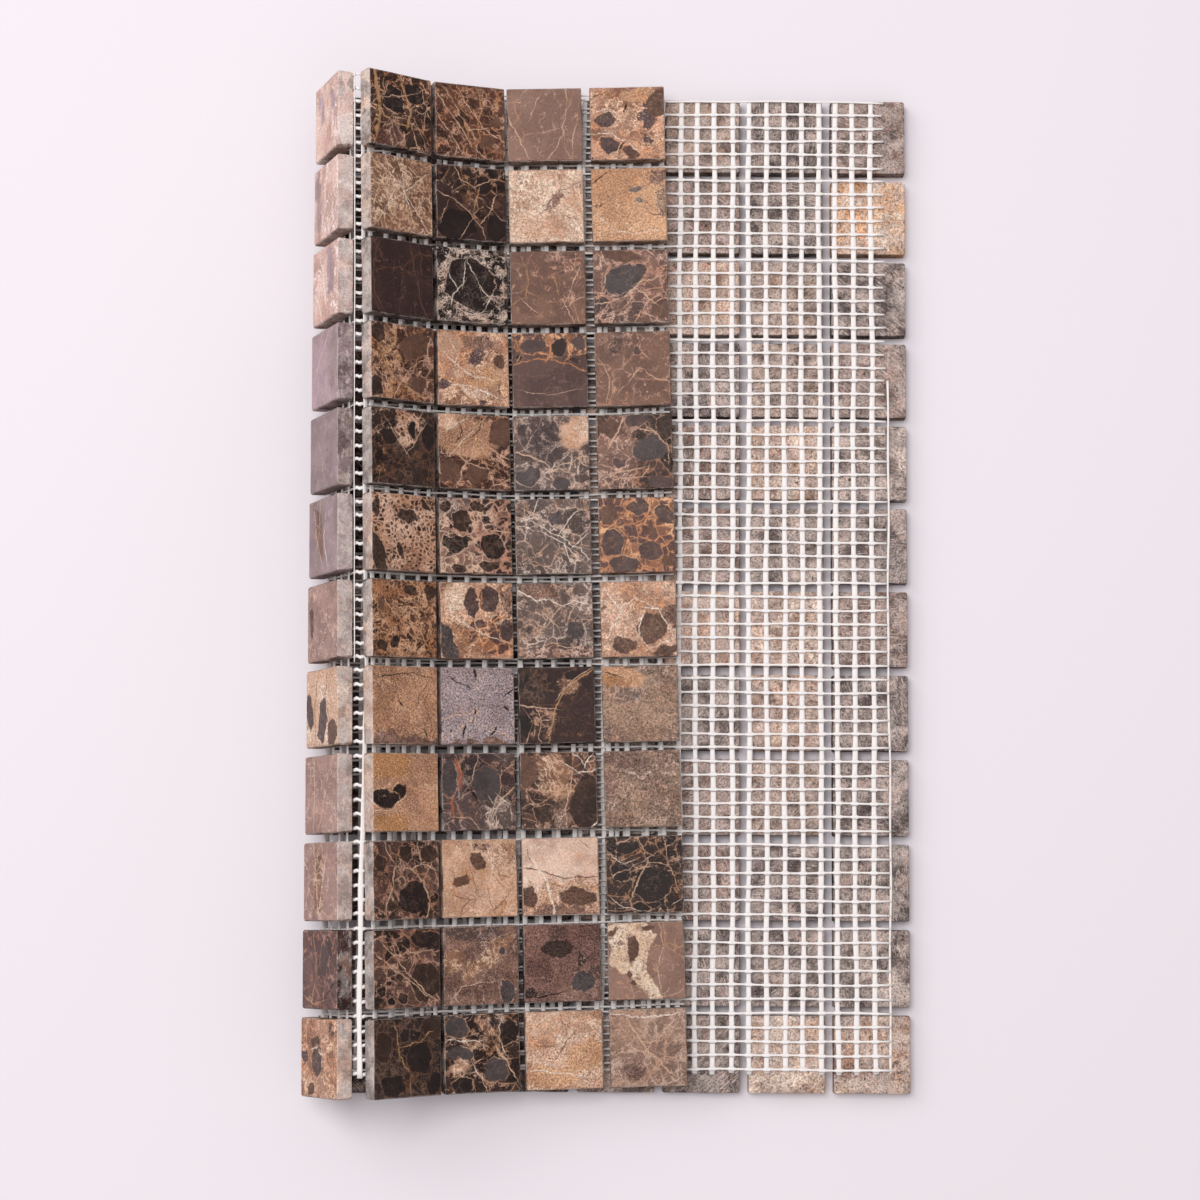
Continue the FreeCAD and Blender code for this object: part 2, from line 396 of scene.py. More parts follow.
def sawn_group():
    """Sawn stone: the marble's colours under dust, with grit, pits and light swirls left by the saw."""
    group, g, given, result = new_group(
        "sawn", ("Place",), ("Ground", "Shade", "Vein", "Clast", "Dust"), ("Dusting", "Coarseness"),
        ("Color",), ("Grain",))
    place = given["Place"]
    coarseness = given["Coarseness"]
    patch_noise = g.noise(place, 0.16, 4.0, 0.65, colour=True)
    patch, patch_two, dusty = g.parts(patch_noise)
    ragged = g.moved(place, patch_noise, 5.0)
    colour = g.blend(g.smooth(patch, 0.43, 0.57), given["Ground"], given["Shade"])
    cell = g.add("ShaderNodeTexVoronoi", {"Vector": ragged, "Scale": 0.24}, feature="F1")
    cell_tone, cell_kind, _ = g.parts(cell.outputs["Color"])
    colour = g.blend(g.product(g.math("LESS_THAN", cell_kind, 0.3), 0.8), colour, given["Clast"])
    colour = g.blend(g.smooth(patch_two, 0.5, 0.6, 0.0, 0.85), colour, given["Vein"])
    colour = g.scaled(colour, g.smooth(cell_tone, 0.0, 1.0, 0.8, 1.25))
    dust_low = g.math("SUBTRACT", given["Dusting"], 0.25)
    dust_high = g.math("ADD", given["Dusting"], 0.2)
    colour = g.blend(g.smooth(dusty, 0.38, 0.62, dust_low, dust_high), colour, given["Dust"])
    grit = g.noise(place, 1.5, 3.0, 0.95)
    grit_light = g.math("MULTIPLY_ADD", g.smooth(grit, 0.34, 0.66, -0.6, 0.6), coarseness, 1.0)
    colour = g.scaled(colour, grit_light)
    swirl = g.math("PINGPONG", g.math("MULTIPLY_ADD", patch, 30.0, g.product(dusty, 12.0)), 0.5)
    turned = g.add("ShaderNodeMapping", {"Vector": place, "Rotation": (0, 0, 0.7), "Scale": (3.2, 0.3, 1.0)})
    scratch = g.smooth(g.noise(turned.outputs[0], 1.0, 2.0, 0.7), 0.57, 0.61)
    light_mark = g.math("MAXIMUM", g.smooth(swirl, 0.12, 0.0), scratch)
    mark_here = g.smooth(patch_two, 0.38, 0.52, 0.1, 0.85)
    colour = g.blend(g.product(light_mark, mark_here, coarseness), colour, given["Dust"])
    pit_noise = g.noise(place, 0.75, 2.0, 0.7)
    pit = g.math("MAXIMUM", g.smooth(grit, 0.36, 0.3), g.smooth(pit_noise, 0.31, 0.28))
    colour = g.scaled(colour, g.math("MULTIPLY_ADD", g.product(pit, coarseness), -0.65, 1.0))
    g.feed(result, {"Color": colour, "Grain": g.math("SUBTRACT", grit, pit)})
    return group


MARBLE = marble_group()
SAWN = sawn_group()


def kind(ground, shade, vein, warm, clast, cells, web, width, thread, clasts=0.0, grain=1.0, crack=0.0):
    """One kind of marble: five colours, then polygons (per mm, tone, veins), web (per mm, share),
    vein width in mm, threads (amount, per mm, spread), share of clasts, grain and cracks."""
    return {"Ground": tone(*ground), "Shade": tone(*shade), "Vein": tone(*vein), "Warm Vein": tone(*warm),
            "Clast": tone(*clast), "Cell Scale": cells[0], "Cell Tone": cells[1], "Cell Vein": cells[2],
            "Web Scale": web[0], "Web Share": web[1], "Vein Width": width, "Thread": thread[0],
            "Thread Density": thread[1], "Thread Spread": thread[2], "Clast Share": clasts, "Grain": grain,
            "Crack": crack}


KINDS = {
    "dark_gold": kind((74, 48, 41), (52, 34, 30), (238, 190, 158), (204, 144, 106), (40, 27, 24),
                      (0.15, 0.7, 0.5), (0.7, 0.2), 0.17, (0.85, 0.22, 1.0), 0.2),
    "red_brown": kind((92, 60, 49), (66, 42, 36), (205, 159, 134), (181, 128, 97), (58, 37, 31),
                      (0.2, 0.5, 0.5), (0.8, 0.35), 0.17, (0.9, 0.35, 0.3), 0.1),
    "plum_plain": kind((145, 112, 98), (132, 100, 87), (201, 165, 144), (193, 143, 118), (103, 80, 72),
                       (0.07, 0.12, 0.5), (0.2, 0.1), 0.17, (0.85, 0.1, 0.4), 0.0, 0.6),
    "plum_dark": kind((94, 70, 65), (82, 60, 56), (142, 108, 95), (130, 92, 75), (71, 54, 52),
                      (0.07, 0.2, 0.4), (0.2, 0.1), 0.14, (0.6, 0.12, 0.5), 0.0, 0.7),
    "tan_clast": kind((186, 142, 119), (145, 103, 81), (238, 197, 167), (218, 154, 115), (90, 70, 71),
                      (0.16, 0.4, 0.5), (0.8, 0.45), 0.2, (0.5, 0.2, 1.0), 0.15, 2.1, 0.9),
    "tan_fibre": kind((133, 95, 75), (108, 75, 60), (221, 186, 158), (199, 156, 127), (98, 70, 59),
                      (0.22, 0.3, 0.3), (0.7, 0.5), 0.2, (1.0, 0.5, 1.0), 0.0, 1.3),
    "black_web": kind((55, 39, 34), (43, 31, 29), (199, 159, 135), (168, 121, 91), (35, 25, 24),
                      (0.15, 0.5, 0.8), (0.85, 0.3), 0.13, (0.8, 0.2, 1.0), 0.3),
    "black_cream": kind((57, 44, 41), (45, 35, 34), (217, 192, 176), (203, 170, 152), (33, 25, 25),
                        (0.16, 0.5, 0.8), (1.0, 0.55), 0.11, (0.8, 0.3, 1.0), 0.3),
    "black_plain": kind((61, 43, 40), (52, 37, 35), (130, 91, 74), (116, 78, 59), (49, 35, 32),
                        (0.08, 0.15, 0.4), (0.3, 0.1), 0.14, (0.5, 0.1, 0.6), 0.0, 0.9),
    "cream_grain": kind((212, 177, 153), (185, 146, 123), (239, 214, 193), (202, 155, 126), (133, 97, 78),
                        (0.3, 0.2, 0.2), (0.8, 0.5), 0.25, (0.6, 0.4, 1.0), 0.0, 2.2, 0.3),
    "ochre": kind((206, 159, 124), (185, 138, 106), (226, 185, 153), (208, 147, 102), (114, 90, 85),
                  (0.12, 0.15, 0.4), (0.3, 0.2), 0.15, (0.5, 0.12, 0.8), 0.0, 2.3, 0.8),
    "brown_web": kind((120, 89, 77), (98, 72, 65), (214, 176, 157), (194, 142, 118), (73, 58, 58),
                      (0.15, 0.45, 0.9), (0.85, 0.45), 0.15, (0.75, 0.2, 1.0), 0.15),
    "orange_clast": kind((149, 101, 76), (125, 85, 67), (236, 180, 137), (202, 140, 100), (90, 63, 60),
                         (0.3, 0.4, 0.9), (0.85, 0.35), 0.17, (0.6, 0.25, 1.0), 0.75),
    "tan_speck": kind((177, 135, 114), (125, 86, 67), (221, 182, 158), (198, 150, 120), (45, 27, 22),
                      (0.72, 0.6, 0.9), (1.3, 0.2), 0.2, (0.4, 0.4, 1.0), 0.72, 1.4),
    "grey_web": kind((107, 88, 82), (88, 73, 68), (214, 188, 173), (189, 151, 129), (78, 63, 59),
                     (0.15, 0.4, 0.9), (0.8, 0.45), 0.15, (0.8, 0.2, 1.0), 0.12),
    "grey_dark": kind((84, 67, 64), (69, 55, 54), (174, 147, 136), (159, 119, 100), (59, 47, 47),
                      (0.12, 0.3, 0.8), (0.6, 0.35), 0.16, (0.8, 0.15, 0.9), 0.12),
    "clast_net": kind((136, 102, 89), (112, 84, 75), (220, 184, 160), (190, 139, 116), (52, 39, 38),
                      (0.36, 0.4, 0.9), (0.95, 0.5), 0.2, (0.5, 0.3, 1.0), 0.6),
    "mauve_plain": kind((157, 134, 136), (141, 120, 121), (200, 169, 159), (190, 139, 118), (120, 98, 99),
                        (0.07, 0.15, 0.3), (0.2, 0.1), 0.14, (0.6, 0.1, 0.6), 0.0, 0.6, 1.0),
    "bronze": kind((191, 144, 115), (163, 120, 96), (225, 183, 149), (202, 145, 102), (103, 74, 56),
                   (0.12, 0.2, 0.3), (0.4, 0.2), 0.15, (0.5, 0.12, 0.8), 0.0, 2.5, 0.6),
    "umber": kind((86, 61, 54), (59, 43, 38), (189, 147, 125), (162, 115, 91), (39, 27, 23),
                  (0.2, 0.5, 0.8), (0.7, 0.4), 0.2, (0.5, 0.2, 1.0), 0.25, 1.2),
    "slate_grain": kind((167, 150, 152), (149, 132, 134), (193, 162, 148), (189, 142, 117), (112, 96, 98),
                        (0.07, 0.15, 0.3), (0.3, 0.1), 0.16, (0.6, 0.1, 0.6), 0.0, 3.4, 1.0),
    "cream_net": kind((146, 113, 96), (165, 132, 111), (227, 203, 180), (213, 180, 153), (106, 78, 68),
                      (0.45, 0.3, 1.0), (1.0, 0.85), 0.42, (0.5, 0.4, 1.0), 0.12, 1.6),
    "rose_brown": kind((163, 131, 122), (147, 115, 107), (217, 184, 168), (203, 158, 139), (118, 94, 91),
                       (0.1, 0.15, 0.5), (0.3, 0.2), 0.2, (0.9, 0.2, 0.6), 0.0, 1.2),
    "honey": kind((182, 131, 90), (163, 115, 78), (209, 164, 125), (187, 130, 85), (112, 80, 57),
                  (0.12, 0.2, 0.3), (0.4, 0.2), 0.15, (0.5, 0.12, 0.8), 0.0, 2.4),
    "amber": kind((231, 176, 130), (210, 166, 134), (235, 206, 178), (217, 160, 111), (194, 134, 87),
                  (0.2, 0.2, 0.3), (0.6, 0.4), 0.2, (0.5, 0.3, 1.0), 0.0, 2.0),
    "light_tan": kind((210, 169, 143), (191, 148, 123), (234, 200, 172), (182, 130, 93), (137, 99, 79),
                      (0.2, 0.25, 0.4), (0.6, 0.4), 0.18, (0.7, 0.3, 1.0), 0.0, 1.5, 0.7),
    "black_fine": kind((55, 41, 37), (46, 35, 32), (114, 88, 75), (114, 80, 61), (37, 28, 26),
                       (0.3, 0.35, 0.7), (0.9, 0.5), 0.1, (0.7, 0.35, 1.0), 0.2),
    "sand": kind((154, 124, 104), (121, 96, 82), (190, 160, 143), (175, 132, 108), (87, 69, 64),
                 (0.25, 0.25, 0.3), (0.8, 0.3), 0.18, (0.4, 0.3, 1.0), 0.0, 3.1),
    "gold_sand": kind((195, 153, 130), (163, 122, 100), (227, 193, 169), (202, 145, 106), (114, 83, 66),
                      (0.2, 0.3, 0.4), (0.6, 0.5), 0.22, (0.7, 0.3, 1.0), 0.05, 2.5),
    "soft_brown": kind((129, 97, 84), (100, 74, 65), (180, 147, 134), (165, 123, 102), (80, 60, 56),
                       (0.2, 0.35, 0.3), (0.45, 0.35), 0.2, (0.4, 0.2, 1.0), 0.08, 2.4),
    "rust_brown": kind((116, 84, 76), (88, 61, 56), (162, 126, 111), (140, 92, 69), (53, 38, 35),
                       (0.12, 0.3, 0.3), (0.6, 0.15), 0.14, (0.3, 0.2, 1.0), 0.08, 3.2, 0.3),
    "cream": kind((220, 186, 166), (203, 165, 146), (236, 211, 193), (213, 165, 133), (162, 124, 107),
                  (0.15, 0.2, 0.4), (0.4, 0.2), 0.16, (0.5, 0.15, 0.7), 0.0, 1.0, 0.8),
    "brown_plain": kind((126, 93, 78), (110, 80, 69), (202, 158, 136), (190, 136, 108), (88, 66, 61),
                        (0.08, 0.15, 0.5), (0.25, 0.15), 0.17, (0.8, 0.12, 0.7), 0.0, 0.8),
    "gold_web": kind((89, 57, 44), (68, 44, 35), (211, 163, 129), (176, 122, 86), (45, 28, 23),
                     (0.3, 0.4, 0.6), (1.0, 0.7), 0.15, (1.0, 0.6, 1.0), 0.15, 1.2),
    "soft_web": kind((147, 116, 99), (122, 96, 84), (194, 163, 146), (184, 145, 124), (106, 86, 79),
                     (0.18, 0.25, 0.8), (0.45, 0.65), 0.28, (0.7, 0.2, 1.0), 0.0, 1.3),
    "pink_streak": kind((221, 185, 173), (194, 154, 142), (250, 229, 220), (218, 169, 148), (143, 112, 107),
                        (0.15, 0.3, 0.3), (0.5, 0.2), 0.35, (1.0, 0.25, 0.25), 0.0, 1.3),
    "mauve_pale": kind((177, 150, 156), (156, 130, 132), (200, 173, 171), (186, 147, 136), (126, 104, 105),
                       (0.1, 0.15, 0.4), (0.3, 0.1), 0.16, (0.7, 0.12, 0.5), 0.0, 0.8),
    "plum_vein": kind((102, 75, 71), (84, 60, 58), (185, 141, 121), (164, 110, 85), (69, 50, 49),
                      (0.14, 0.35, 0.7), (0.7, 0.35), 0.14, (0.5, 0.2, 0.8), 0.12, 1.1, 0.2),
}

# Tones of the marks on single chips
MARK_TONES = {
    "black": (42, 32, 30), "dark": (58, 42, 36), "brown": (98, 70, 58), "plum": (84, 65, 62),
    "slate": (76, 66, 66), "grey": (126, 112, 108), "tan": (206, 168, 142), "cream": (232, 212, 196),
    "gold": (178, 134, 94), "orange": (194, 128, 84), "rust": (158, 92, 72), "crack": (28, 20, 18),
}
# Dark patches, which have veins round them
RIMMED_MARKS = ("black", "dark", "plum", "slate")
# Zones with crisp edges; the others fade out raggedly
CRISP_ZONES = ("cream_net", "orange_clast")
# How much longer a streak is than its stretch of a vein, and how slim against its given width
STREAK_OVERLAP = 1.25
STREAK_SLIMNESS = 0.8


# A mark is its middle, its half length and half width in mm, its turn in degrees, and its tone or,
# for a zone, its kind of marble.
def spots(what, *patches):
    """Patches on a polished face, each by its middle, width, height and perhaps its turn."""
    return [(x, y, width / 2, height / 2, *(turn or (0,)), what) for x, y, width, height, *turn in patches]


def vein(what, width, *points):
    """A bent vein or crack through points in mm, as streaks that overlap."""
    return [((a + c) / 2, (b + d) / 2, math.hypot(c - a, d - b) * STREAK_OVERLAP / 2,
             width * STREAK_SLIMNESS / 2, math.degrees(math.atan2(d - b, c - a)), what)
            for (a, b), (c, d) in zip(points, points[1:])]


# Folded part: a letter for each column from the standing one on, a number for each row from the
# far end. Each chip has its kind of marble, the turn of its threads in degrees, and its marks, drawn
# with the face's middle as their origin.
FLAP = {
    "A1": ("pink_streak", 0, spots("mauve_pale", (-4, 3, 5, 13, 8)),
           vein("cream", 0.6, (1, 10), (-1, 0), (-4, -9)), vein("tan", 0.7, (6, 8), (3, -2), (2, -11)),
           spots("mauve_pale", (7, 4, 5, 6))),
    "B1": ("dark_gold", 40, spots("umber", (-1, -7, 9, 8)),
           spots("black", (-3, 3, 8, 9, 10), (5, 6, 8, 7, -20)), spots("dark", (5, -8, 9, 6, 20)),
           vein("gold", 1.5, (-9.6, 11), (-8.2, 4), (-8, -2), (-9.4, -9)),
           vein("gold", 0.9, (-1, 10.5), (1.6, 5), (3.4, 0), (2.4, -4)),
           vein("tan", 0.35, (3, 1), (7, 0.6), (11, 3)), vein("tan", 0.35, (3.6, -4), (6.5, -11)),
           vein("tan", 0.35, (5.6, -3), (9.4, -11)), vein("tan", 0.3, (-7, 3.6), (0, 4.6), (9, 8)),
           vein("gold", 0.5, (-7, -2), (-3, -4), (2.4, -4))),
    "C1": ("red_brown", -32, vein("tan", 0.36, (-11, 8), (-4, -1), (-0.4, -7)),
           vein("tan", 0.3, (-8, 9), (-2, 0), (2, -6)), vein("tan", 0.3, (-11, 2), (-6, -5), (-3, -10)),
           vein("tan", 0.36, (-4, 10), (0, 4), (4, -1)),
           vein("gold", 0.4, (3, 9), (4, 4), (2.6, 0), (3, -5)),
           vein("gold", 0.4, (10, 8), (7, 3), (4.4, 2)), vein("tan", 0.4, (0, -3), (5, -2), (10, -5)),
           vein("tan", 0.4, (1, -4), (2, -9), (5, -11)),
           spots("brown", (5.4, -5.6, 5.4, 4.4, 20), (8, 0.6, 4, 4))),
    "D1": ("plum_plain", 0, vein("tan", 0.4, (-11.4, 3), (-9.4, -1), (-7, -6), (-5, -11)),
           vein("tan", 0.32, (7, 11), (6.4, 4), (5.6, -3), (3, -8), (1, -11)),
           vein("tan", 0.28, (-1, 11), (-2.6, 6), (-4.6, 2)),
           vein("tan", 0.25, (10, 2), (8.6, -4), (8, -10)), vein("gold", 0.25, (-9.4, 0), (-7, 4))),
    "E1": ("tan_clast", 0, spots("brown", (9.6, 6.4, 7, 10, -20)), spots("ochre", (3, 8.6, 7, 4)),
           spots("plum", (-6.8, 1.2, 7, 4.6, 20), (-5.6, -6.6, 7.6, 6.2, -25)),
           spots("brown", (0.6, -9.4, 6, 3.6, -30)), vein("crack", 0.8, (-1.2, 3.4), (-0.2, 6)),
           vein("crack", 0.7, (-3.4, -9), (-1, -6)), vein("crack", 0.4, (-11, 7.6), (-7, 9.4)),
           vein("cream", 0.3, (-10, -3), (-5, -3), (0, -6), (4, -10)),
           vein("cream", 0.3, (-10, 4), (-5, 4.6), (-2, 2))),
    "A2": ("pink_streak", 0, spots("mauve_pale", (-7, 0, 4, 20, 6)),
           vein("cream", 1.1, (1.4, 11), (0, 2), (-3, -8)), vein("tan", 0.5, (7, 10), (5, 0), (2, -10))),
    "B2": ("tan_fibre", 20, vein("cream", 0.3, (-8, -6), (0, 0), (9, 7)),
           vein("cream", 0.3, (-7, 8), (1, 1), (8, -8)), vein("cream", 0.3, (-1, 10), (1, 2), (4, -8)),
           vein("tan", 0.3, (-10, 2), (-3, 1), (4, 4), (10, 3)),
           vein("cream", 0.25, (-9, -9), (-4, -2), (0, 6)), vein("tan", 0.3, (-6, -10), (0, -5), (8, -4))),
    "C2": ("black_plain", 10, spots("black_web", (0, 7.4, 26, 10)), spots("umber", (1, -1, 6, 12, 20)),
           spots("black", (-5, -7, 13, 9, 10), (8, -7, 7, 9), (4.4, 6, 5, 6)),
           vein("tan", 0.3, (-11, 3), (-4, 0), (0, -4), (3, -7)), vein("tan", 0.4, (3, -7), (4, -11)),
           vein("gold", 0.4, (3, 5), (1.6, 1), (0.6, -3)),
           vein("tan", 0.3, (-5, 11), (-3, 7), (1, 5), (3, 6), (11, 10)),
           vein("tan", 0.25, (3, -6), (6, -3), (8, 4)), vein("tan", 0.25, (6, -1), (11, -5)),
           vein("tan", 0.25, (-8, -1), (-10, -6)), vein("tan", 0.25, (0, -5), (-4, -11))),
    "D2": ("cream_grain", 50, vein("brown", 0.7, (0, -1), (2, 2.4), (4, 4.4)),
           vein("brown", 0.3, (4, 4.4), (8, 6), (11, 8)), spots("soft_brown", (1.6, 0.4, 4, 2.4, 40)),
           vein("brown", 0.25, (-3, -3), (0, -1)), vein("brown", 0.25, (6, -3), (9, -6))),
    "E2": ("ochre", 0, spots("grey", (2.4, 4.4, 4, 2, 10), (3, 1.6, 1.8, 1.8)),
           vein("crack", 0.5, (-11, 6.6), (-7, 9.6)), spots("soft_brown", (9, 8.4, 6, 4)),
           vein("cream", 0.25, (-10, -3), (-5, -8), (3, -9), (10, -8)),
           vein("brown", 0.4, (6, -2.4), (10, -4)), vein("brown", 0.3, (3, 4), (6, 6)),
           spots("sand", (11, 1, 4, 8))),
    "A3": ("pink_streak", 0, vein("cream", 1.6, (-9, -2), (-5, -6), (-3, -11)),
           vein("cream", 1.1, (-2, 6), (0, -3), (2, -9)), spots("mauve_pale", (5, 3, 8, 14))),
    "B3": ("black_plain", 0, vein("brown", 0.5, (-8, 11), (-10, 4), (-10, -5), (-7, -10)),
           vein("brown", 0.4, (3, 10), (5, 1), (6.6, -5), (9, -11)),
           vein("brown", 0.25, (-2, 8), (0, 0), (-1, -9))),
    "C3": ("black_cream", 0, spots("black", (-1, 1, 16, 16, 20), (4, -6, 6, 6)),
           vein("cream", 0.3, (-2, 7), (-3, 1), (-6, -3), (-7, -6)),
           vein("cream", 0.3, (-1, 7), (2, 0), (6, -4)), vein("cream", 0.3, (6, -3.6), (3, -8), (-3, -9)),
           vein("cream", 0.3, (-8, 4), (-5, -1))),
    "D3": ("brown_plain", 0, spots("brown_web", (5, 7.6, 12, 6, 10)),
           vein("gold", 0.36, (-11, -5), (-7, -3), (-6, 2), (-7, 7)), vein("tan", 0.32, (-8, -4), (-3, -8)),
           vein("tan", 0.32, (10, 6), (7, 0), (5, -5), (8, -11)), vein("tan", 0.32, (5, -6), (11, -3)),
           vein("gold", 0.3, (2, 4), (3, -2))),
    "E3": ("brown_web", 0, spots("slate", (-2, 2.4, 15, 9, 28)), spots("plum", (2, -6.6, 5, 4.4)),
           spots("brown", (9, -7, 6, 7), (-3, 9.6, 14, 3.6, -8)),
           vein("tan", 0.5, (-11, -5), (-3, -4), (3, 1), (11, 4)),
           vein("tan", 0.4, (-9, -2), (-7, 6), (-9, 11)), vein("tan", 0.4, (2, -1), (7, -5), (11, -4)),
           vein("tan", 0.36, (-10, -9), (-3, -7), (0, -4)), vein("tan", 0.36, (1, -11), (3, -8), (7, -10)),
           vein("gold", 0.4, (4, 2), (8, -1), (11, 0))),
    "A4": ("mauve_pale", 0, vein("cream", 0.3, (-8, -2), (-2, 5), (4, 10)),
           spots("mauve_plain", (8, 0, 5, 20))),
    "B4": ("red_brown", 20, spots("gold_web", (-6, 3, 10, 14), (-3, -8, 12, 6, 10)),
           spots("brown", (4.4, 5, 11, 8, 20), (5, -6, 7, 5)), spots("dark", (-9.6, -8, 5, 7)),
           vein("gold", 0.8, (-2, 10), (-3, 5), (-7, 1), (-4, -5), (-5, -11)), spots("dark", (-9, 8, 5, 6)),
           vein("tan", 0.4, (10, 8), (9, 2), (4, 0), (-1, -6), (-3, -11)),
           vein("gold", 0.5, (-1, -6), (5, -9), (10, -10)),
           vein("tan", 0.36, (-10, -3), (-6, -5), (-4, -9))),
    "C4": ("tan_clast", 60, spots("soft_brown", (2, 8, 9, 5)), spots("brown", (8.6, 2.6, 4.6, 5)),
           spots("cream_grain", (-4, -1.4, 6, 3, 20), (1, -8, 8, 3, 5)), spots("ochre", (4, -3, 10, 6, 20)),
           spots("light_tan", (-8, 7, 7, 7)), vein("cream", 0.4, (-9, 4), (-4, 0), (0, -2), (6, -3)),
           vein("brown", 0.3, (6, 6), (3, 2)), vein("cream", 0.3, (-7, -5), (0, -6), (9, -9)),
           vein("gold", 0.5, (-11, -3), (-6, -4), (0, -4)), vein("gold", 0.5, (3, 0), (8, -4), (11, -5)),
           vein("cream", 0.3, (-8, 9), (-5, 4), (-6, 0))),
    "D4": ("plum_dark", 0, spots("orange_clast", (0, 13, 34, 20.5, -4)),
           spots("plum", (-5, 7.4, 7.4, 4.4, 10)), spots("dark", (3, 6.6, 6, 4.8, 60)),
           spots("plum", (9, 8.6, 4.6, 4)), spots("dark", (-9, 3.6, 2.6, 2), (7.6, 3, 2.6, 2)),
           vein("gold", 0.4, (-10, 9), (-8, 5), (-10, 2)), vein("orange", 0.5, (0, 10), (0.4, 6), (-1, 3)),
           vein("orange", 0.5, (5, 10), (7, 6), (5, 2)),
           vein("orange", 0.4, (-11.5, 1.2), (-5, 3), (0, 3.2), (6, 1.4), (11.5, -0.6)),
           vein("tan", 0.2, (-9, -6.6), (0, -7.6), (8, -6.4))),
    "E4": ("brown_plain", 0, vein("tan", 0.36, (-4, -7), (0, -2.6), (2, -0.6), (6, -2.4), (11, -4.4)),
           vein("tan", 0.32, (-10, 3), (-7, -3), (-8, -9)), vein("tan", 0.28, (1, 11), (3, 5), (5, 3)),
           spots("plum", (1.6, 5.4, 3, 2.6)), spots("soft_brown", (-6, 8, 8, 6))),
    "A5": ("mauve_plain", 0, vein("tan", 0.25, (-6, 6), (-2, 0), (0, -8))),
    "B5": ("black_fine", 0, spots("black_web", (-2, 7, 26, 9)), spots("tan_speck", (1.6, 5.6, 10, 11)),
           spots("black_web", (-9, -3, 4, 14)), spots("black", (3.4, 5.4, 3, 5.4, 15), (-5, 3, 6, 5)),
           vein("brown", 0.6, (-10.4, 2), (-10, -5)), vein("tan", 0.3, (-6, 8), (-1, 1), (1.6, -2)),
           vein("tan", 0.3, (1.6, -1), (5, 3), (8, 8)), spots("black", (9, 4, 5, 9)),
           vein("brown", 0.3, (-10, -7), (-3, -3), (4, -5), (11, -2)),
           vein("brown", 0.3, (-6, -11), (-3, -3))),
    "C5": ("red_brown", -60, spots("bronze", (-4, 5, 23, 13, -14)), spots("light_tan", (-8, 9, 8, 5)),
           spots("brown", (8.6, 6, 8, 9, -20), (-8, -6, 7, 8), (0, -7, 7, 6)),
           vein("cream", 0.3, (-8, -1), (-3, 4), (3, 10)),
           vein("crack", 0.35, (-6, 3), (-3.6, 6), (-4.4, 8.6)),
           vein("crack", 0.35, (-1.6, 2.6), (1, 6), (2, 9)), vein("gold", 0.5, (-11, 2), (-6, 1), (0, 4)),
           vein("cream", 0.3, (-11, 5), (-6, 8), (-2, 11)), vein("tan", 0.4, (3, 3), (7, 0), (11, -2)),
           vein("tan", 0.4, (-6, 0), (-3, -3), (-6, -11)),
           vein("tan", 0.4, (-3, -3), (4, -5), (6, -10), (11, -8)), vein("gold", 0.6, (1, 2), (4, -5))),
    "D5": ("grey_web", 0, spots("grey_dark", (-3, 3, 17, 15)), spots("light_tan", (8, 6.6, 9, 13, -40)),
           spots("cream_grain", (9.6, 7, 5, 8, -40)),
           vein("tan", 0.6, (-11, 0.4), (-6, -1), (0, -5), (5, -6), (11, -10)),
           vein("tan", 0.4, (3, -4), (8, -2), (11, -4)), vein("tan", 0.4, (-1, -6), (1, -9), (6, -11)),
           spots("slate", (3, -9.4, 6, 4), (-7, -7, 8, 6)), spots("plum", (9, -8, 4, 3))),
    "E5": ("umber", 30, spots("brown_web", (-6, -3, 13, 20)), spots("slate", (4.6, 0.6, 10.4, 8.6, 20)),
           spots("plum", (0.4, 9.4, 7, 4.4)), spots("dark", (9.8, 7.4, 6, 8, -30)),
           spots("plum", (-4.6, -3.4, 4, 3.4), (8, -9.6, 10, 4)), spots("brown", (-7, 7, 7, 6)),
           vein("tan", 0.5, (-8, 1), (-5, 6), (-3, 11)),
           vein("tan", 0.4, (2, 7), (6, 6), (10, 2), (10, -3)),
           vein("tan", 0.4, (-10, -4), (-4, -6), (2, -5)),
           vein("tan", 0.36, (-9, -10), (-4, -8), (2, -8), (4, -5))),
    "A6": ("mauve_plain", 0, spots("brown_plain", (-3, 2, 5, 18, 10)),
           vein("tan", 0.5, (-2, 11), (-3, 2), (-6, -8)), vein("tan", 0.5, (-7, 9), (-5, 0), (0, -9)),
           spots("mauve_pale", (6, 1, 6, 12)), vein("cream", 0.4, (2, 6), (1, -2), (4, -9))),
    "B6": ("tan_speck", 0,
           spots("dark", (-9.4, -6, 5, 15, 18), (0.8, 5, 7.6, 3.6, -4), (8, 8.4, 5, 1.8, -40),
                 (-1.6, -5, 2.2, 5, 10), (-9.8, 7, 2.6, 5))),
    "C6": ("clast_net", 0, spots("grey_web", (-8, 9, 12, 6)),
           spots("black", (-6.4, -2.4, 9, 5), (5.4, -3, 7.4, 7.6, 30)),
           spots("dark", (-4.6, 4.6, 6.6, 6, 10), (4.2, -9, 6, 3.6, -8), (8, 4.2, 2.6, 2),
                 (-5.6, -10, 4.4, 3), (10.6, -5.6, 2.4, 2.4), (0.6, 9, 4, 3), (-9.6, 8.4, 4, 3.4)),
           vein("tan", 0.4, (-11, 1), (-4, 1), (0, -2), (4, 2), (11, 1))),
    "D6": ("grey_web", 0, vein("cream", 0.32, (-11.4, 6.4), (-7, 5), (-2, 2), (3, -1), (8, -4), (11.4, -8)),
           vein("cream", 0.35, (-8, 5), (-5.6, 8), (-4.4, 11)), vein("cream", 0.35, (2, 0), (4, 4), (8, 8)),
           vein("cream", 0.3, (3, -1), (4, -5), (5, -9)), vein("cream", 0.3, (6, -3), (10, 0)),
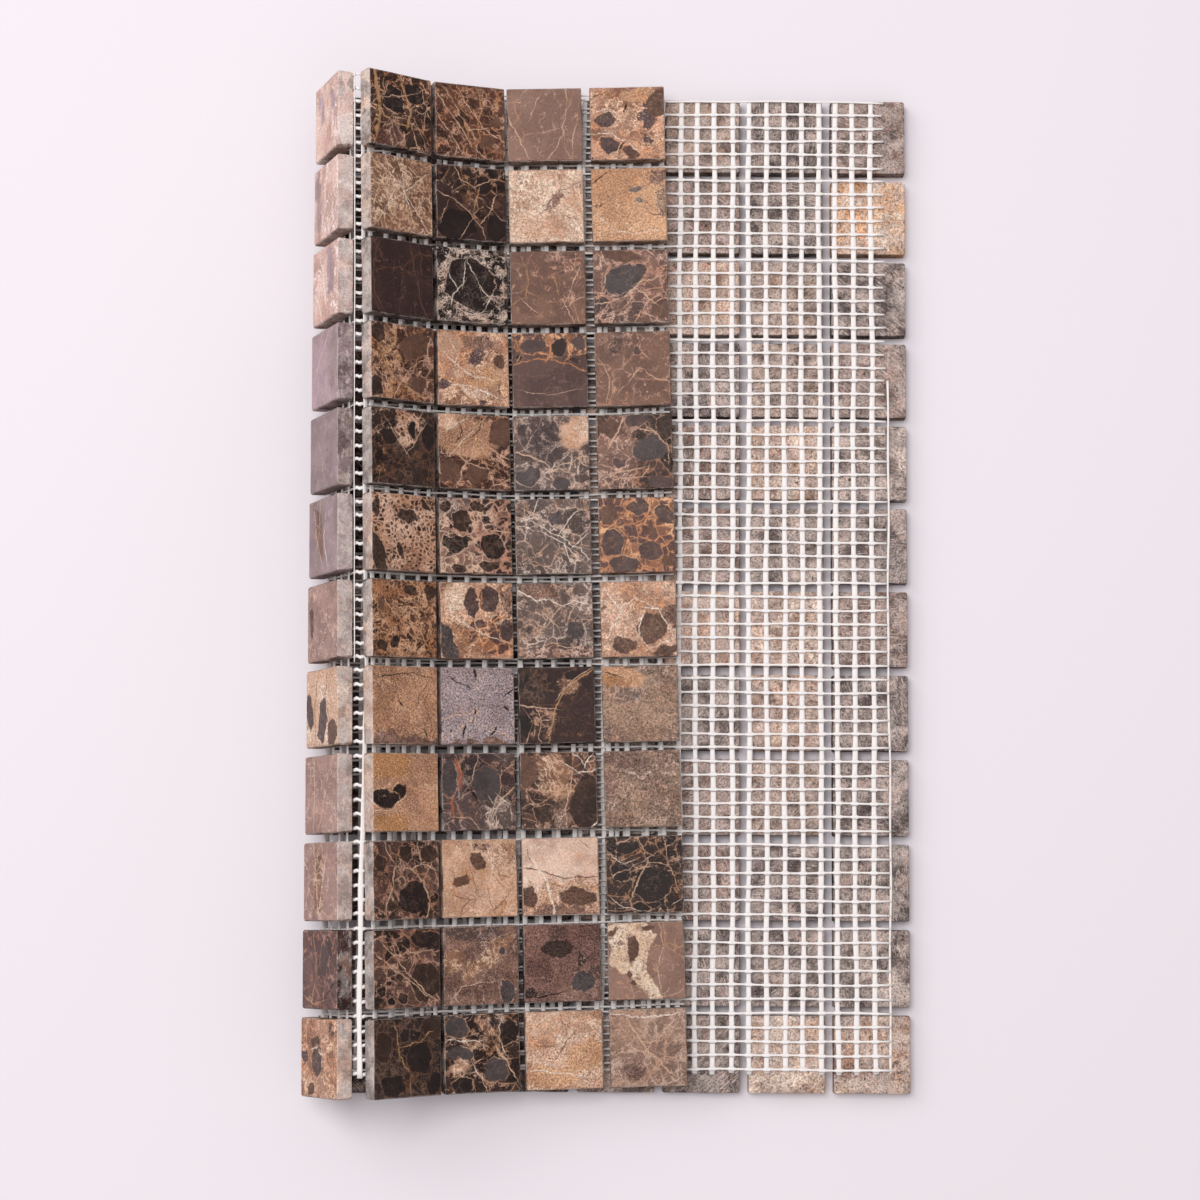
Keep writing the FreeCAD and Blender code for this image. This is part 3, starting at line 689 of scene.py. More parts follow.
           vein("grey", 0.3, (-6, 2), (-8, -4), (-7, -10)),
           vein("cream", 0.3, (-10, 3), (-3, 1), (4, -3), (11, -10)),
           vein("tan", 0.3, (-8, 8), (-2, 4), (5, 1)), spots("slate", (0.6, 5.6, 4, 5))),
    "E6": ("orange_clast", 0,
           spots("plum", (0.8, 8.4, 7, 4.6), (8.2, 6, 5.4, 6.4, 10), (-7.6, -2.4, 7.4, 9),
                 (-3.6, -9, 9, 6), (4, -5, 7.4, 6)),
           spots("brown", (-8.6, 6.4, 6.6, 6), (4, 1, 3.4, 3), (9.6, -8, 4, 4)),
           vein("orange", 0.5, (-11, 3), (-6, 3.4), (-3, -1), (-4, -6)),
           vein("orange", 0.5, (-3, 3), (2, 4), (5, 9))),
    "A7": ("rose_brown", 0, vein("rust", 0.4, (3, 9), (5, 5)), spots("brown", (-8, 0, 3, 10, 5))),
    "B7": ("gold_web", 20, spots("black", (-3.4, -7, 3.6, 3.4)),
           spots("dark", (9, 8.4, 4.6, 4), (2, 8.4, 5, 3), (-8, -8, 4, 4)), spots("brown", (-8, 4, 3, 4)),
           vein("tan", 0.4, (-8, 7), (-4, 2), (0, -2))),
    "C7": ("tan_clast", 0, spots("cream_grain", (-6.8, 7, 9, 9)),
           spots("orange_clast", (4, -5, 15, 9, -30)), spots("plum", (-1.6, 5, 5, 9, 5), (4, 6.4, 6.6, 9)),
           spots("soft_brown", (10, 6, 3, 9)), spots("plum", (9.4, -3, 4.4, 7)),
           spots("slate", (-10, -6, 6, 13, 24)), spots("plum", (1.6, -1, 4, 2.6), (6, 0, 3, 2)),
           vein("gold", 0.7, (-8, -2), (-4, -6), (-3, -10)),
           vein("orange", 0.5, (1.6, 9), (1.4, 3), (3, -1), (9, 1)),
           vein("cream", 0.4, (-6, 1), (0, -3), (8, -6)), vein("orange", 0.5, (-4, -3), (3, -2), (9, 2)),
           vein("cream", 0.4, (-9, 2), (-4, -1))),
    "D7": ("grey_web", 60, spots("soft_brown", (-4, 8.6, 11, 5, -8)),
           vein("cream", 0.5, (-11, 9), (-6, 6), (-1, 6.4)),
           vein("cream", 0.36, (-1, 6.4), (3, 4), (6, 6), (11, 5)),
           vein("tan", 0.36, (-7, 0), (-3, -2), (0, 2), (2, 4)), vein("tan", 0.36, (5, 9), (6, 5), (4, 0)),
           spots("slate", (6, -3, 6, 5)), spots("brown_web", (2, -10, 22, 5)),
           vein("tan", 0.36, (-9, -8), (0, -7), (8, -9)), vein("tan", 0.3, (-8, 3), (-3, 2), (1, -3))),
    "E7": ("gold_sand", 30, spots("brown", (4, -2.6, 9.6, 8.6, 25), (-4.4, -8, 7, 5.4)),
           spots("soft_brown", (9.8, 1, 4, 6, 20)), spots("brown", (8, -10, 8, 3.6, 10)),
           vein("cream", 0.5, (2, 3.6), (6, 3), (10, -5)), vein("cream", 0.45, (1.6, 2), (0, -4), (-2, -6)),
           vein("cream", 0.4, (0, -5), (3, -9), (11, -6)), vein("cream", 0.5, (-9, 8), (-5, 3), (-9, -5)),
           vein("cream", 0.4, (-6, 4), (0, 6), (6, 3))),
    "A8": ("cream_grain", 0, spots("plum", (-8.4, -1, 5, 13, 12), (1, -4, 6, 15, -8)),
           spots("brown", (8, -8, 7, 8)), vein("gold", 1.0, (-3, 9), (-5, 0), (-4, -10)),
           vein("brown", 0.4, (4, 10), (3, 2), (6, -4))),
    "B8": ("bronze", 20, spots("soft_brown", (0, -11.2, 28, 6)),
           vein("crack", 0.3, (-9, 7.6), (-4, 9), (3, 9.6), (9, 8)),
           vein("brown", 0.3, (9, 8), (5, 3), (3, -2), (4, -6)),
           vein("brown", 0.25, (-2, 9), (-4, 2), (-8, -3)), vein("crack", 0.6, (-1.8, 1), (-0.6, -0.4)),
           vein("crack", 0.5, (6, -7), (7.4, -9)), vein("brown", 0.25, (8, 5), (7, 0), (9, -5))),
    "C8": ("slate_grain", 0, vein("crack", 0.8, (-1, 11), (-0.6, 8.4)),
           vein("crack", 0.5, (-8, 8), (-4, 6), (-2, 5.6)), vein("crack", 0.6, (11, 5), (8, 3)),
           vein("crack", 0.8, (0, -1), (-2, -4.6)), vein("crack", 0.7, (-4, -6), (-4.6, -9)),
           vein("crack", 0.8, (5.4, -6.6), (3.4, -9)), vein("crack", 0.6, (8, -0.6), (9.6, -2)),
           vein("tan", 0.5, (-11, -4), (-5, -2.6), (-0.6, -1)),
           vein("tan", 0.4, (-10, -9), (-3, -5), (0, -2)), vein("tan", 0.3, (0, 8), (0.4, 2), (0, -1)),
           vein("tan", 0.3, (-2, -4.6), (4, -7), (10, -9)), spots("soft_brown", (0, -11, 18, 2))),
    "D8": ("black_plain", 0, spots("umber", (-5, -5.6, 10, 9)), spots("black_fine", (-6, 6, 11, 9)),
           spots("black", (-9.4, -6, 5, 6)), spots("tan_fibre", (3.4, 6.6, 5, 7, -40)),
           spots("black", (5, 9, 5, 3)),
           vein("gold", 0.5, (11, 11), (6, 7.2), (3, 4.8), (0.8, 1.6), (-0.4, -1.4), (-1.4, -5),
                (-2.6, -11)), vein("tan", 0.36, (10, 11), (5, 7.4), (2, 4.6), (0, 2)),
           vein("tan", 0.4, (-11, 0.6), (-6.4, -0.6), (-0.6, -1)),
           vein("tan", 0.3, (-9.6, -1.6), (-8, -5.4), (-9.4, -11)),
           vein("tan", 0.3, (-6.4, -0.6), (-4.6, -4.6), (-1.6, -4)),
           vein("tan", 0.3, (-4.6, -4.6), (-5.4, -9), (-4.6, -11)),
           vein("gold", 0.3, (-8, -5.4), (-4.6, -4.6))),
    "E8": ("sand", 0, spots("ochre", (-6, 8.4, 15, 7, -14)), spots("honey", (-8, 6.4, 8, 3.4, -20)),
           spots("grey_web", (-4.6, 2.6, 9, 5)), vein("crack", 0.5, (-11, 9.6), (-6, 8)),
           vein("crack", 0.35, (-5, 10.6), (-1, 11))),
    "A9": ("rose_brown", 0, vein("tan", 0.8, (-5, 11), (-4, 2), (-5, -10)),
           vein("tan", 0.5, (6, 9), (3, 0), (1, -6), (-2, -11)), vein("tan", 0.4, (0, -4), (4, -6))),
    "B9": ("bronze", 0,
           spots("black", (-8, -1.6, 8, 5.4, -14), (-2.4, 0, 5.6, 4.2, 50), (-5.2, -2, 6, 3.6, 10)),
           vein("cream", 0.3, (-10, -5), (-5, -4.6), (0, -1)),
           vein("brown", 0.4, (-3, -5), (-2, -8), (1, -11)),
           spots("honey", (-5, -9.4, 13, 6), (-6, 8, 15, 8))),
    "C9": ("grey_dark", 0, spots("slate", (2.6, 2, 10, 11), (-9, 4, 5, 12)),
           spots("grey_web", (6, -6.4, 10, 9)), vein("rust", 1.3, (-7, 9.6), (-5.6, 5), (-6, 1)),
           vein("rust", 1.0, (-8, -1), (-8, -7)), vein("orange", 0.4, (-6, 9), (-5, 5)),
           vein("crack", 0.6, (-3.4, 0.6), (-1, -1.6)),
           vein("tan", 0.4, (11, 1), (7, -3), (4, -6), (3, -11)),
           vein("tan", 0.3, (0, 11), (-2, 4), (-4, 1)), vein("cream", 0.3, (3, -2), (5, -5), (4, -9)),
           vein("cream", 0.25, (8, -3), (5, -5), (1, -7)), vein("cream", 0.3, (6, -1), (9, -4), (10, -8)),
           vein("tan", 0.3, (11, 8), (7, 6), (7, 0)), vein("tan", 0.3, (-8, -7), (-3, -8), (0, -11))),
    "D9": ("umber", 20, spots("dark", (9, -4, 12, 18, -6)), spots("brown", (-9.4, 6, 7, 11, -10)),
           spots("tan_fibre", (-1, 4, 9, 14, 20)), spots("dark", (-4.4, -6.4, 6, 5.4)),
           spots("sand", (1, -8, 5, 10)), vein("cream", 0.4, (2, 8), (6, 5), (11, 6)),
           vein("cream", 0.4, (5, 11), (8, 7), (10, 10)),
           vein("tan", 0.45, (4, 5), (3.4, 0), (1.6, -6), (2, -11)),
           vein("cream", 0.5, (11.4, -9), (9.6, -11))),
    "E9": ("sand", 0, spots("soft_brown", (-6, 9, 14, 6), (-10, 3, 5, 10)), spots("sand", (4, 3, 10, 6))),
    "A10": ("rose_brown", 0, spots("tan_fibre", (-1, 0, 6, 26, 4)),
            vein("tan", 0.8, (-5, 11), (-2, 0), (-2, -11)), vein("cream", 0.4, (4, 8), (1, -2), (-1, -11)),
            vein("cream", 0.4, (-11, 6), (-8, 2))),
    "B10": ("umber", 60, spots("black", (2.6, -5, 12, 10)),
            spots("dark", (-9, 5, 4, 5), (0, 7.6, 5, 5), (7.6, 7.6, 6, 5)),
            vein("tan", 0.5, (-7, 10), (-4, 4), (-5, -2), (-7, -8)),
            vein("tan", 0.4, (-4, 4), (2, 3), (5, 5), (10, 3)),
            vein("tan", 0.4, (2, 3), (6, -1), (8, -6), (7, -11)), vein("tan", 0.36, (5, 5), (4, 10))),
    "C10": ("light_tan", 0, spots("brown", (-0.4, 5, 6.4, 4, -55), (-5.6, -0.4, 5, 3.8)),
            spots("soft_brown", (1, 9, 5, 3)), spots("gold_sand", (7, 7, 9, 7)),
            vein("brown", 0.3, (-8, -5), (-3, -6), (1, -5)),
            vein("brown", 0.35, (1.6, -2), (3, -7), (4, -11)), vein("brown", 0.3, (-6, -11), (-4, -6)),
            vein("brown", 0.3, (9, -4), (6, -8), (3, -10)), vein("brown", 0.3, (3, 6), (6, 1), (9, 0)),
            vein("gold", 0.5, (0, 2), (4, 1), (8, -3)), vein("brown", 0.25, (-11, 3), (-8, 2), (-7, -2)),
            vein("brown", 0.25, (-3, 3), (-1, -3), (-2, -8)), vein("cream", 0.4, (2, 9), (4, 4), (3, -1))),
    "D10": ("cream", 0, spots("gold_sand", (1, -11.6, 34, 22, 4)), spots("soft_brown", (0, -11, 20, 6)),
            spots("brown", (5, -6, 12, 5.6, -8), (-9.4, -6, 6, 6)),
            vein("brown", 0.5, (-11.4, 3), (-6, 2), (-3, 0.4), (3, -0.6), (11.4, -0.4)),
            vein("cream", 0.7, (-9, 6), (-5, 0), (-3, -5), (-2, -11)),
            vein("brown", 0.3, (6, 10.6), (9, 8)), vein("gold", 0.6, (-4, -2), (2, -3), (9, -3)),
            vein("brown", 0.3, (-10, 9), (-9, 5))),
    "E10": ("black_web", 30,
            spots("black", (2, -3, 12, 11, 20), (-7, 1, 6, 6), (-5, 8, 8, 4), (-1, -10, 6, 3)),
            vein("tan", 0.5, (1, 4), (-1.6, -1), (-4, -7)),
            vein("tan", 0.25, (-11, -1), (-4, 2), (1, 5), (10, 10)),
            vein("tan", 0.25, (1, 4), (7, 3), (10, -4)), vein("cream", 0.25, (-10, 6), (-6, 3), (-3, 4)),
            vein("cream", 0.25, (-10, -7), (-6, -10), (0, -11)), vein("tan", 0.25, (-2, 11), (1, 5)),
            vein("tan", 0.25, (6, 11), (7, 4)), vein("cream", 0.25, (8, -9), (11, -7))),
    "A11": ("plum_vein", 0, vein("gold", 0.5, (-4, 11), (-2, 2), (-4, -8)),
            vein("crack", 0.6, (3, -9), (7, -6), (10, -4)),
            vein("gold", 0.5, (-10, -8), (-3, -10), (3, -9)), spots("plum", (3, 3, 5, 10))),
    "B11": ("umber", 0, spots("black", (7, 8, 12, 6, -10)), spots("dark", (6, -4, 11, 12)),
            spots("black", (-8.4, -6.4, 3.4, 3.2), (-1.4, -8.6, 3.4, 3), (-5.4, -9.6, 2.8, 2.6),
                  (-6, -4, 1.8, 1.8)), vein("tan", 0.5, (-11, 5), (-5, 0), (0, -3), (7, -8)),
            vein("tan", 0.4, (-8, 7), (-3, 2), (2, -3), (9, -9)),
            vein("tan", 0.35, (-1, 6), (3, 4), (8, 5)), vein("tan", 0.3, (-5, 9), (-2, 3))),
    "C11": ("soft_brown", 60, spots("tan_fibre", (-8, 1, 7, 6, 20), (2, 2, 18, 5, 35)),
            spots("grey_dark", (-3, 9.4, 16, 5)), spots("slate", (8, -8, 5, 7), (7, 4, 2.6, 2)),
            vein("tan", 0.3, (-10, -10), (-5, -6), (2, -5)), vein("tan", 0.25, (-4, 6), (3, 7), (9, 9))),
    "D11": ("rust_brown", 0, spots("soft_brown", (6, -7, 17, 9, 25)),
            spots("dark", (-1.4, 4.4, 10, 5.4, -5)), spots("slate", (6, -5.4, 8, 6, 20)),
            vein("crack", 0.5, (-9, -10), (-4, -9.4), (0, -8.6))),
    "E11": ("plum_plain", 0,
            spots("cream_net", (-4.6, 7.4, 15, 11, -4), (-5.4, 1, 12, 9, 20),
                  (-2.6, -3.4, 10, 5.6, 118), (1.4, -8.6, 9, 4, 125)),
            spots("brown", (-4, 3.6, 3.8, 9.4, -8), (-10, 8.6, 2.8, 1.8, 30), (0.4, 9.8, 4, 1.8),
                  (-5.4, -3.4, 2, 1.8), (-4, -6.4, 2.4, 1.8)),
            vein("tan", 0.35, (4, 11), (5, 4), (3, -2), (4, -8)),
            vein("gold", 0.3, (2, 4), (7, 5), (11, 3))),
    "A12": ("tan_clast", 0, spots("plum", (-1, -1, 7, 9)), spots("brown", (-2, 4.4, 7, 4), (-5, -9, 5, 4)),
            vein("cream", 0.5, (-5, 2), (-1, 3), (2, 1))),
    "B12": ("black_fine", 40, spots("black", (4, 0, 9, 10, -35), (-5, -8, 8, 6), (-1, 6.4, 3.4, 4)),
            spots("dark", (-8, 3, 6, 9), (8, 8, 7, 6)), spots("black", (9, -8, 5, 7)),
            vein("gold", 0.36, (-4, 9), (-3, 2), (0, -4), (1, -10)),
            vein("gold", 0.36, (8, 7), (4, 4), (-2, 3))),
    "C12": ("black_web", 50, spots("slate", (-7.4, 7.4, 8, 7), (-7, 0, 8, 5)),
            spots("gold_sand", (-7.6, -4, 8, 3, 8)), spots("tan_fibre", (1.6, 8, 5, 7, 40), (-2, 3, 6, 3)),
            spots("black", (8, 6, 6, 8)), spots("slate", (4, -5, 8, 8)), spots("black", (-6, -9, 7, 5)),
            vein("crack", 0.6, (-3.4, 4), (0, 6.4)), vein("cream", 0.3, (-11, 4), (-5, 3.4), (0, 4)),
            spots("black_cream", (4, 9, 7, 4)), vein("cream", 0.25, (6, 10), (5, 4), (7, 0)),
            vein("cream", 0.25, (-3, -3), (0, -7), (1, -11)),
            vein("tan", 0.25, (0, 4), (1, -1), (-3, -3), (-9, -6)),
            vein("tan", 0.5, (4, 2), (7, -2), (10, -8))),
    "D12": ("gold_sand", 0, spots("cream_grain", (0, 7, 24, 10)),
            spots("ochre", (6, -2, 14, 8), (-4, -8, 16, 6)), vein("brown", 0.3, (3, 5), (-1, 0), (-5, -5)),
            vein("cream", 0.36, (-9, -6), (0, -7), (8, -8)), vein("brown", 0.3, (-8, 2), (-3, 1)),
            vein("brown", 0.3, (4, -9), (9, -6))),
    "E12": ("soft_web", 0, spots("soft_brown", (-4.4, -5, 8, 8)),
            vein("tan", 0.5, (-6, 8), (-2, 2), (2, -3), (7, -8)), vein("tan", 0.4, (8, 9), (3, 2), (-2, 2)),
            vein("cream", 0.5, (-10, 10), (0, 9), (9, 10)), vein("tan", 0.36, (-10, -2), (-4, 0), (2, -3))),
}
FLAP_LETTERS = "ABCDE"

# Lower layer, row by row from the far end: the three columns that show, from the free edge in
BACK_LAYOUT = [
    ("soft_brown", "grey_dark", "sand"),
    ("amber", "grey_dark", "soft_brown"),
    ("grey_dark", "sand", "gold_sand"),
    ("soft_brown", "sand", "grey_dark"),
    ("grey_web", "cream_grain", "soft_brown"),
    ("grey_dark", "grey_web", "soft_brown"),
    ("soft_brown", "cream_grain", "gold_sand"),
    ("grey_dark", "gold_sand", "grey_dark"),
    ("grey_dark", "sand", "soft_brown"),
    ("grey_dark", "grey_dark", "rust_brown"),
    ("grey_web", "grey_dark", "grey_dark"),
    ("gold_sand", "cream_grain", "black_plain"),
]

# Chips that the flap hides take these in turn
HIDDEN_KINDS = ("umber", "grey_dark", "plum_dark", "black_web", "rust_brown", "black_plain", "brown_web")

# Stone: its roughness, the strength of its relief and how deep that is in metres, and its shine
POLISHED_ROUGHNESS = 0.38
POLISHED_BUMP = 0.08
SAWN_ROUGHNESS = 0.95
SAWN_BUMP = 0.4
STONE_BUMP_DEPTH = 0.0003
STONE_SPECULAR = 0.14

# Sawn surfaces: tone and share of their dust, coarseness of the saw's marks, and how light the stone
# is against its polished face. The walls' two looks are a lit and a shaded copy: the lighter is dust
# and painted light; the darker, dimmed and nearly without dust, is painted shade, and on a few ridge
# chips dark stone.
SAWN_LOOKS = {
    "back": ((206, 188, 180), 0.33, 1.2, 0.9),
    "dust_and_light_wall": ((218, 204, 198), 0.55, 0.4, 1.0),
    "shade_and_dark_stone_wall": ((218, 204, 198), 0.05, 0.6, 0.58),
}

# Marks: how fine and how far their outlines wander, how soft their edges are in mm and at most as a
# share of the mark, and the half width under which one is a streak
MARK_UNREST_SCALE = 0.22
SPOT_UNREST = 4.0
STREAK_UNREST = 3.2
SPOT_EDGE = 0.22
STREAK_EDGE = 0.14
ZONE_EDGE = 0.6
SOFTEST_EDGE = 0.7
THIN_MARK = 0.8
# A patch's sides, how uneven they are, how far out they lie and how round its corners are, and how
# much the stone's veins show over the marks
PATCH_SIDES = (5, 6, 7)
PATCH_UNREST = 0.25
PATCH_REACHES = (0.78, 0.98)
CORNER_WEAR = 0.3
VEIN_OVER_MARKS = 0.12
# Painted highlight along the rim of a polished face, where its edge catches the light: its tone, its
# share of it, and where it starts and is full, in mm from the chip's side
HIGHLIGHT_TONE = (212, 194, 182)
HIGHLIGHT_SHARE = 0.5
HIGHLIGHT_FROM = 0.45
HIGHLIGHT_FULL = 0.3


def finish_surface(g, colour, height, roughness, bump, bump_depth, specular):
    """Shader of a surface, with its bump, at the end of its material."""
    relief = g.add("ShaderNodeBump", {"Height": height, "Strength": bump, "Distance": bump_depth})
    shader = g.add("ShaderNodeBsdfPrincipled", {"Base Color": colour, "Normal": relief.outputs[0],
                                                "Roughness": roughness, "Specular IOR Level": specular})
    g.add("ShaderNodeOutputMaterial", {"Surface": shader.outputs[0]})


def finish_stone(g, stone, colour, roughness, bump):
    """Shader of a marble surface, with the stone's grain as its relief."""
    finish_surface(g, colour, stone["Grain"], roughness, bump, STONE_BUMP_DEPTH, STONE_SPECULAR)


def new_material(name):
    """A material without nodes, and a graph to fill it."""
    material = bpy.data.materials.new(name)
    material.use_nodes = True
    g = Graph(material.node_tree)
    g.tree.nodes.clear()
    return material, g


def broken_reach(g, own, seed):
    """How far out a place lies in an uneven polygon with rounded corners, 1 on its outline."""
    rng = random.Random(seed)
    count = rng.choice(PATCH_SIDES)
    start = rng.uniform(0, 2 * math.pi)
    reach = None
    for i in range(count):
        angle = start + (i + rng.uniform(-PATCH_UNREST, PATCH_UNREST)) / count * 2 * math.pi
        out = rng.uniform(*PATCH_REACHES)
        way = (math.cos(angle) / out, math.sin(angle) / out, 0.0)
        side = g.dot(own, way)
        reach = side if reach is None else g.math("MAXIMUM", reach, side)
    return g.math("MULTIPLY_ADD", g.math("SUBTRACT", g.vector_length(own), reach), CORNER_WEAR, reach)


def marked(g, name, marks, place, stone):
    """Colour and light of a polished face with its marks laid over the stone in turn, and a painted
    highlight along its rim.
    """
    colour, light = stone["Color"], stone["Light"]
    unrest = g.noise(place, MARK_UNREST_SCALE, 4.0, 0.6, colour=True)
    fade, mottle, _ = g.parts(unrest)
    face_at = g.attribute("face_at", "Vector")
    streak_at = g.moved(face_at, unrest, STREAK_UNREST)
    spot_at = g.moved(face_at, unrest, SPOT_UNREST)
    mottling = g.smooth(mottle, 0.35, 0.65, 0.82, 1.18)
    streak_fade = g.smooth(fade, 0.36, 0.5, 0.25, 0.95)
    grainy = g.math("SUBTRACT", stone["Grain"], 0.5)
    blotchy = g.math("SUBTRACT", mottle, 0.5)
    zone_unrest = g.math("ADD", g.product(blotchy, 7.0), g.product(grainy, 3.0))
    rims = 0.0
    for number, (x, y, half_width, half_height, turn, what) in enumerate(marks):
        thin = half_height < THIN_MARK
        own = g.add("ShaderNodeMapping", {"Vector": streak_at if thin else spot_at, "Location": (x, y, 0.0),
                                          "Rotation": (0.0, 0.0, math.radians(turn)),
                                          "Scale": (half_width, half_height, 6.0)},
                    vector_type="TEXTURE").outputs[0]
        smaller = min(half_width, half_height)
        if thin:
            reach, edge = g.vector_length(own), STREAK_EDGE
        elif what in MARK_TONES or what in CRISP_ZONES:
            reach, edge = broken_reach(g, own, name + str(number)), SPOT_EDGE
        else:
            reach, edge = g.math("MULTIPLY_ADD", zone_unrest, 1.0 / smaller, g.vector_length(own)), ZONE_EDGE
        softness = min(SOFTEST_EDGE, edge / smaller)
        inside = g.smooth(reach, 1.0 + softness, 1.0 - softness)
        if thin:
            inside = inside if what == "crack" else g.product(inside, streak_fade)
            fill = tone(*MARK_TONES[what])
        elif what in MARK_TONES:
            fill = g.scaled(tone(*MARK_TONES[what])[:3], mottling)
        else:
            zone = g.group(MARBLE, {"Place": place, **KINDS[what]})
            fill = zone["Color"]
            light = g.math("MULTIPLY_ADD", inside, g.math("SUBTRACT", zone["Light"], light), light)
        colour = g.blend(inside, colour, fill)
        if what in RIMMED_MARKS and not thin:
            from_edge = g.math("ABSOLUTE", g.math("SUBTRACT", reach, 1.0 + 0.6 * softness))
            rims = g.math("MAXIMUM", rims, g.smooth(from_edge, 1.1 * softness, 0.2 * softness))
    faded_rims = g.product(rims, g.smooth(fade, 0.44, 0.54, 0.0, 0.6))
    veins = g.math("MAXIMUM", faded_rims, g.product(stone["Vein"], VEIN_OVER_MARKS))
    colour = g.blend(veins, colour, stone["Vein Color"])
    # Painted highlight: a light, patchy line along the face's edge, where the edge catches the light.
    across, down, _ = g.add("ShaderNodeSeparateXYZ", {0: face_at}).outputs
    out = g.math("MAXIMUM", g.math("ABSOLUTE", across), g.math("ABSOLUTE", down))
    rim = g.smooth(out, CHIP_SIDE / 2 - HIGHLIGHT_FROM, CHIP_SIDE / 2 - HIGHLIGHT_FULL)
    painted_highlight = g.product(rim, g.smooth(fade, 0.4, 0.56), HIGHLIGHT_SHARE)
    return g.blend(painted_highlight, colour, tone(*HIGHLIGHT_TONE)), light


def polished_material(name, kind_name, marks=()):
    """Polished marble of one kind, with its marks and a painted highlight along its rim where it has marks.
    """
    material, g = new_material("polished_" + name)
    place = g.attribute("stone_at", "Vector")
    stone = g.group(MARBLE, {"Place": place, **KINDS[kind_name]})
    colour, light = stone["Color"], stone["Light"]
    if marks:
        colour, light = marked(g, name, marks, place, stone)
    finish_stone(g, stone, g.scaled(colour, light), POLISHED_ROUGHNESS, POLISHED_BUMP)
    return material


def sawn_material(look, kind_name):
    """Sawn marble of one kind, with one of the sawn looks."""
    dust, dusting, coarseness, light = SAWN_LOOKS[look]
    material, g = new_material(look + "_" + kind_name)
    values = {label: tuple(part * light for part in KINDS[kind_name][label][:3]) + (1.0,)
              for label in ("Ground", "Shade", "Vein", "Clast")}
    stone = g.group(SAWN, {"Place": g.attribute("stone_at", "Vector"), **values, "Dust": tone(*dust),
                           "Dusting": dusting, "Coarseness": coarseness})
    finish_stone(g, stone, stone["Color"], SAWN_ROUGHNESS, SAWN_BUMP)
    return material


POLISHED_STONE = {name: polished_material(name, name) for name in KINDS}
SAWN_STONE = {(look, name): sawn_material(look, name) for look in SAWN_LOOKS for name in KINDS}

# Outline of a chip: points along each straight side and round each corner
SIDE_POINTS = 11
CORNER_POINTS = 4
# Rings from the middle of the polished face, over its edge and down the side, to the middle of
# the back: inset from the outline, height above the back, corner radius, raggedness
RINGS = (
    (8.0, 5.0, 0.3, 0.0),
    (4.0, 5.0, 0.3, 0.0),
    (1.5, 5.0, 0.3, 0.0),
    (0.42, 5.0, 0.3, 0.5),
    (0.2, 4.79, 0.35, 0.8),
    (0.03, 4.58, 0.35, 0.6),
    (0.03, 3.2, 0.45, 0.4),
    (0.03, 1.8, 0.6, 0.4),
    (0.05, 0.5, 0.8, 0.7),
    (0.1, 0.16, 0.9, 1.0),
    (0.3, 0.0, 1.0, 1.2),
    (1.5, 0.0, 1.0, 0.0),
    (5.0, 0.0, 1.0, 0.0),
)
POLISHED_RINGS = 5
WALL_RINGS = 10
# Columns at the ridge, whose walls along it look up and take dust with painted light, but for a few
# chips whose walls are dark grey stone and take the painted shade look
RIDGE_COLUMNS = (7, 8)
GREY_RIDGE_CHIPS = ((7, 3), (7, 4), (7, 10))
# Columns under the flap, whose backs take the painted shade look and so look dark through its joints
HIDDEN_COLUMNS = (4, 5, 6)
# How far an outline wanders in, in mm, and the waves round it that make it wander
RAGGED_REACH = 0.16
COARSE_SHARE = 0.6
COARSE_WAVES = (3, 5, 8, 13)
FINE_SHARE = 0.4
FINE_WAVES = (17, 23, 29)
# Nicks: how many a chip may have, how deep they go in mm, and, in points of the outline, how wide
# they are and how far those of the back lie beside those of the face
NICK_COUNTS = (0, 1, 1, 2, 3)
NICK_REACH = 0.35
BACK_NICK_REACH = 0.21
NICK_WIDTHS = (0.7, 1.6)
NICK_OFFSET = 9
# Edges sharper than this, in degrees, stay crisp.
SHARP_ANGLE = 32
# Seeds of the chips' faults, and how far apart the chips were cut from the marble, in mm
CHIP_SEED = 1000
SEEDS_A_COLUMN = 50
CUT_APART = 400


def ring_outline(inset, radius):
    """Points and outward directions of a square with rounded corners, round the outline."""
    half = CHIP_SIDE / 2 - inset
    radius = min(radius, half * 0.5)
    flat = half - radius
    points = []
    for corner in range(4):
        turn = corner * math.pi / 2
        cos, sin = math.cos(turn), math.sin(turn)
        local = [(half, -flat + 2 * flat * i / SIDE_POINTS, 1.0, 0.0) for i in range(SIDE_POINTS)]
        for i in range(CORNER_POINTS):
            angle = math.pi / 2 * i / CORNER_POINTS
            c, s = math.cos(angle), math.sin(angle)
            local.append((flat + radius * c, flat + radius * s, c, s))
        points += [(x * cos - y * sin, x * sin + y * cos, u * cos - v * sin, u * sin + v * cos)
                   for x, y, u, v in local]
    return np.array(points)


RING_OUTLINES = [ring_outline(inset, radius) for inset, _, radius, _ in RINGS]
RING_SIZE = 4 * (SIDE_POINTS + CORNER_POINTS)


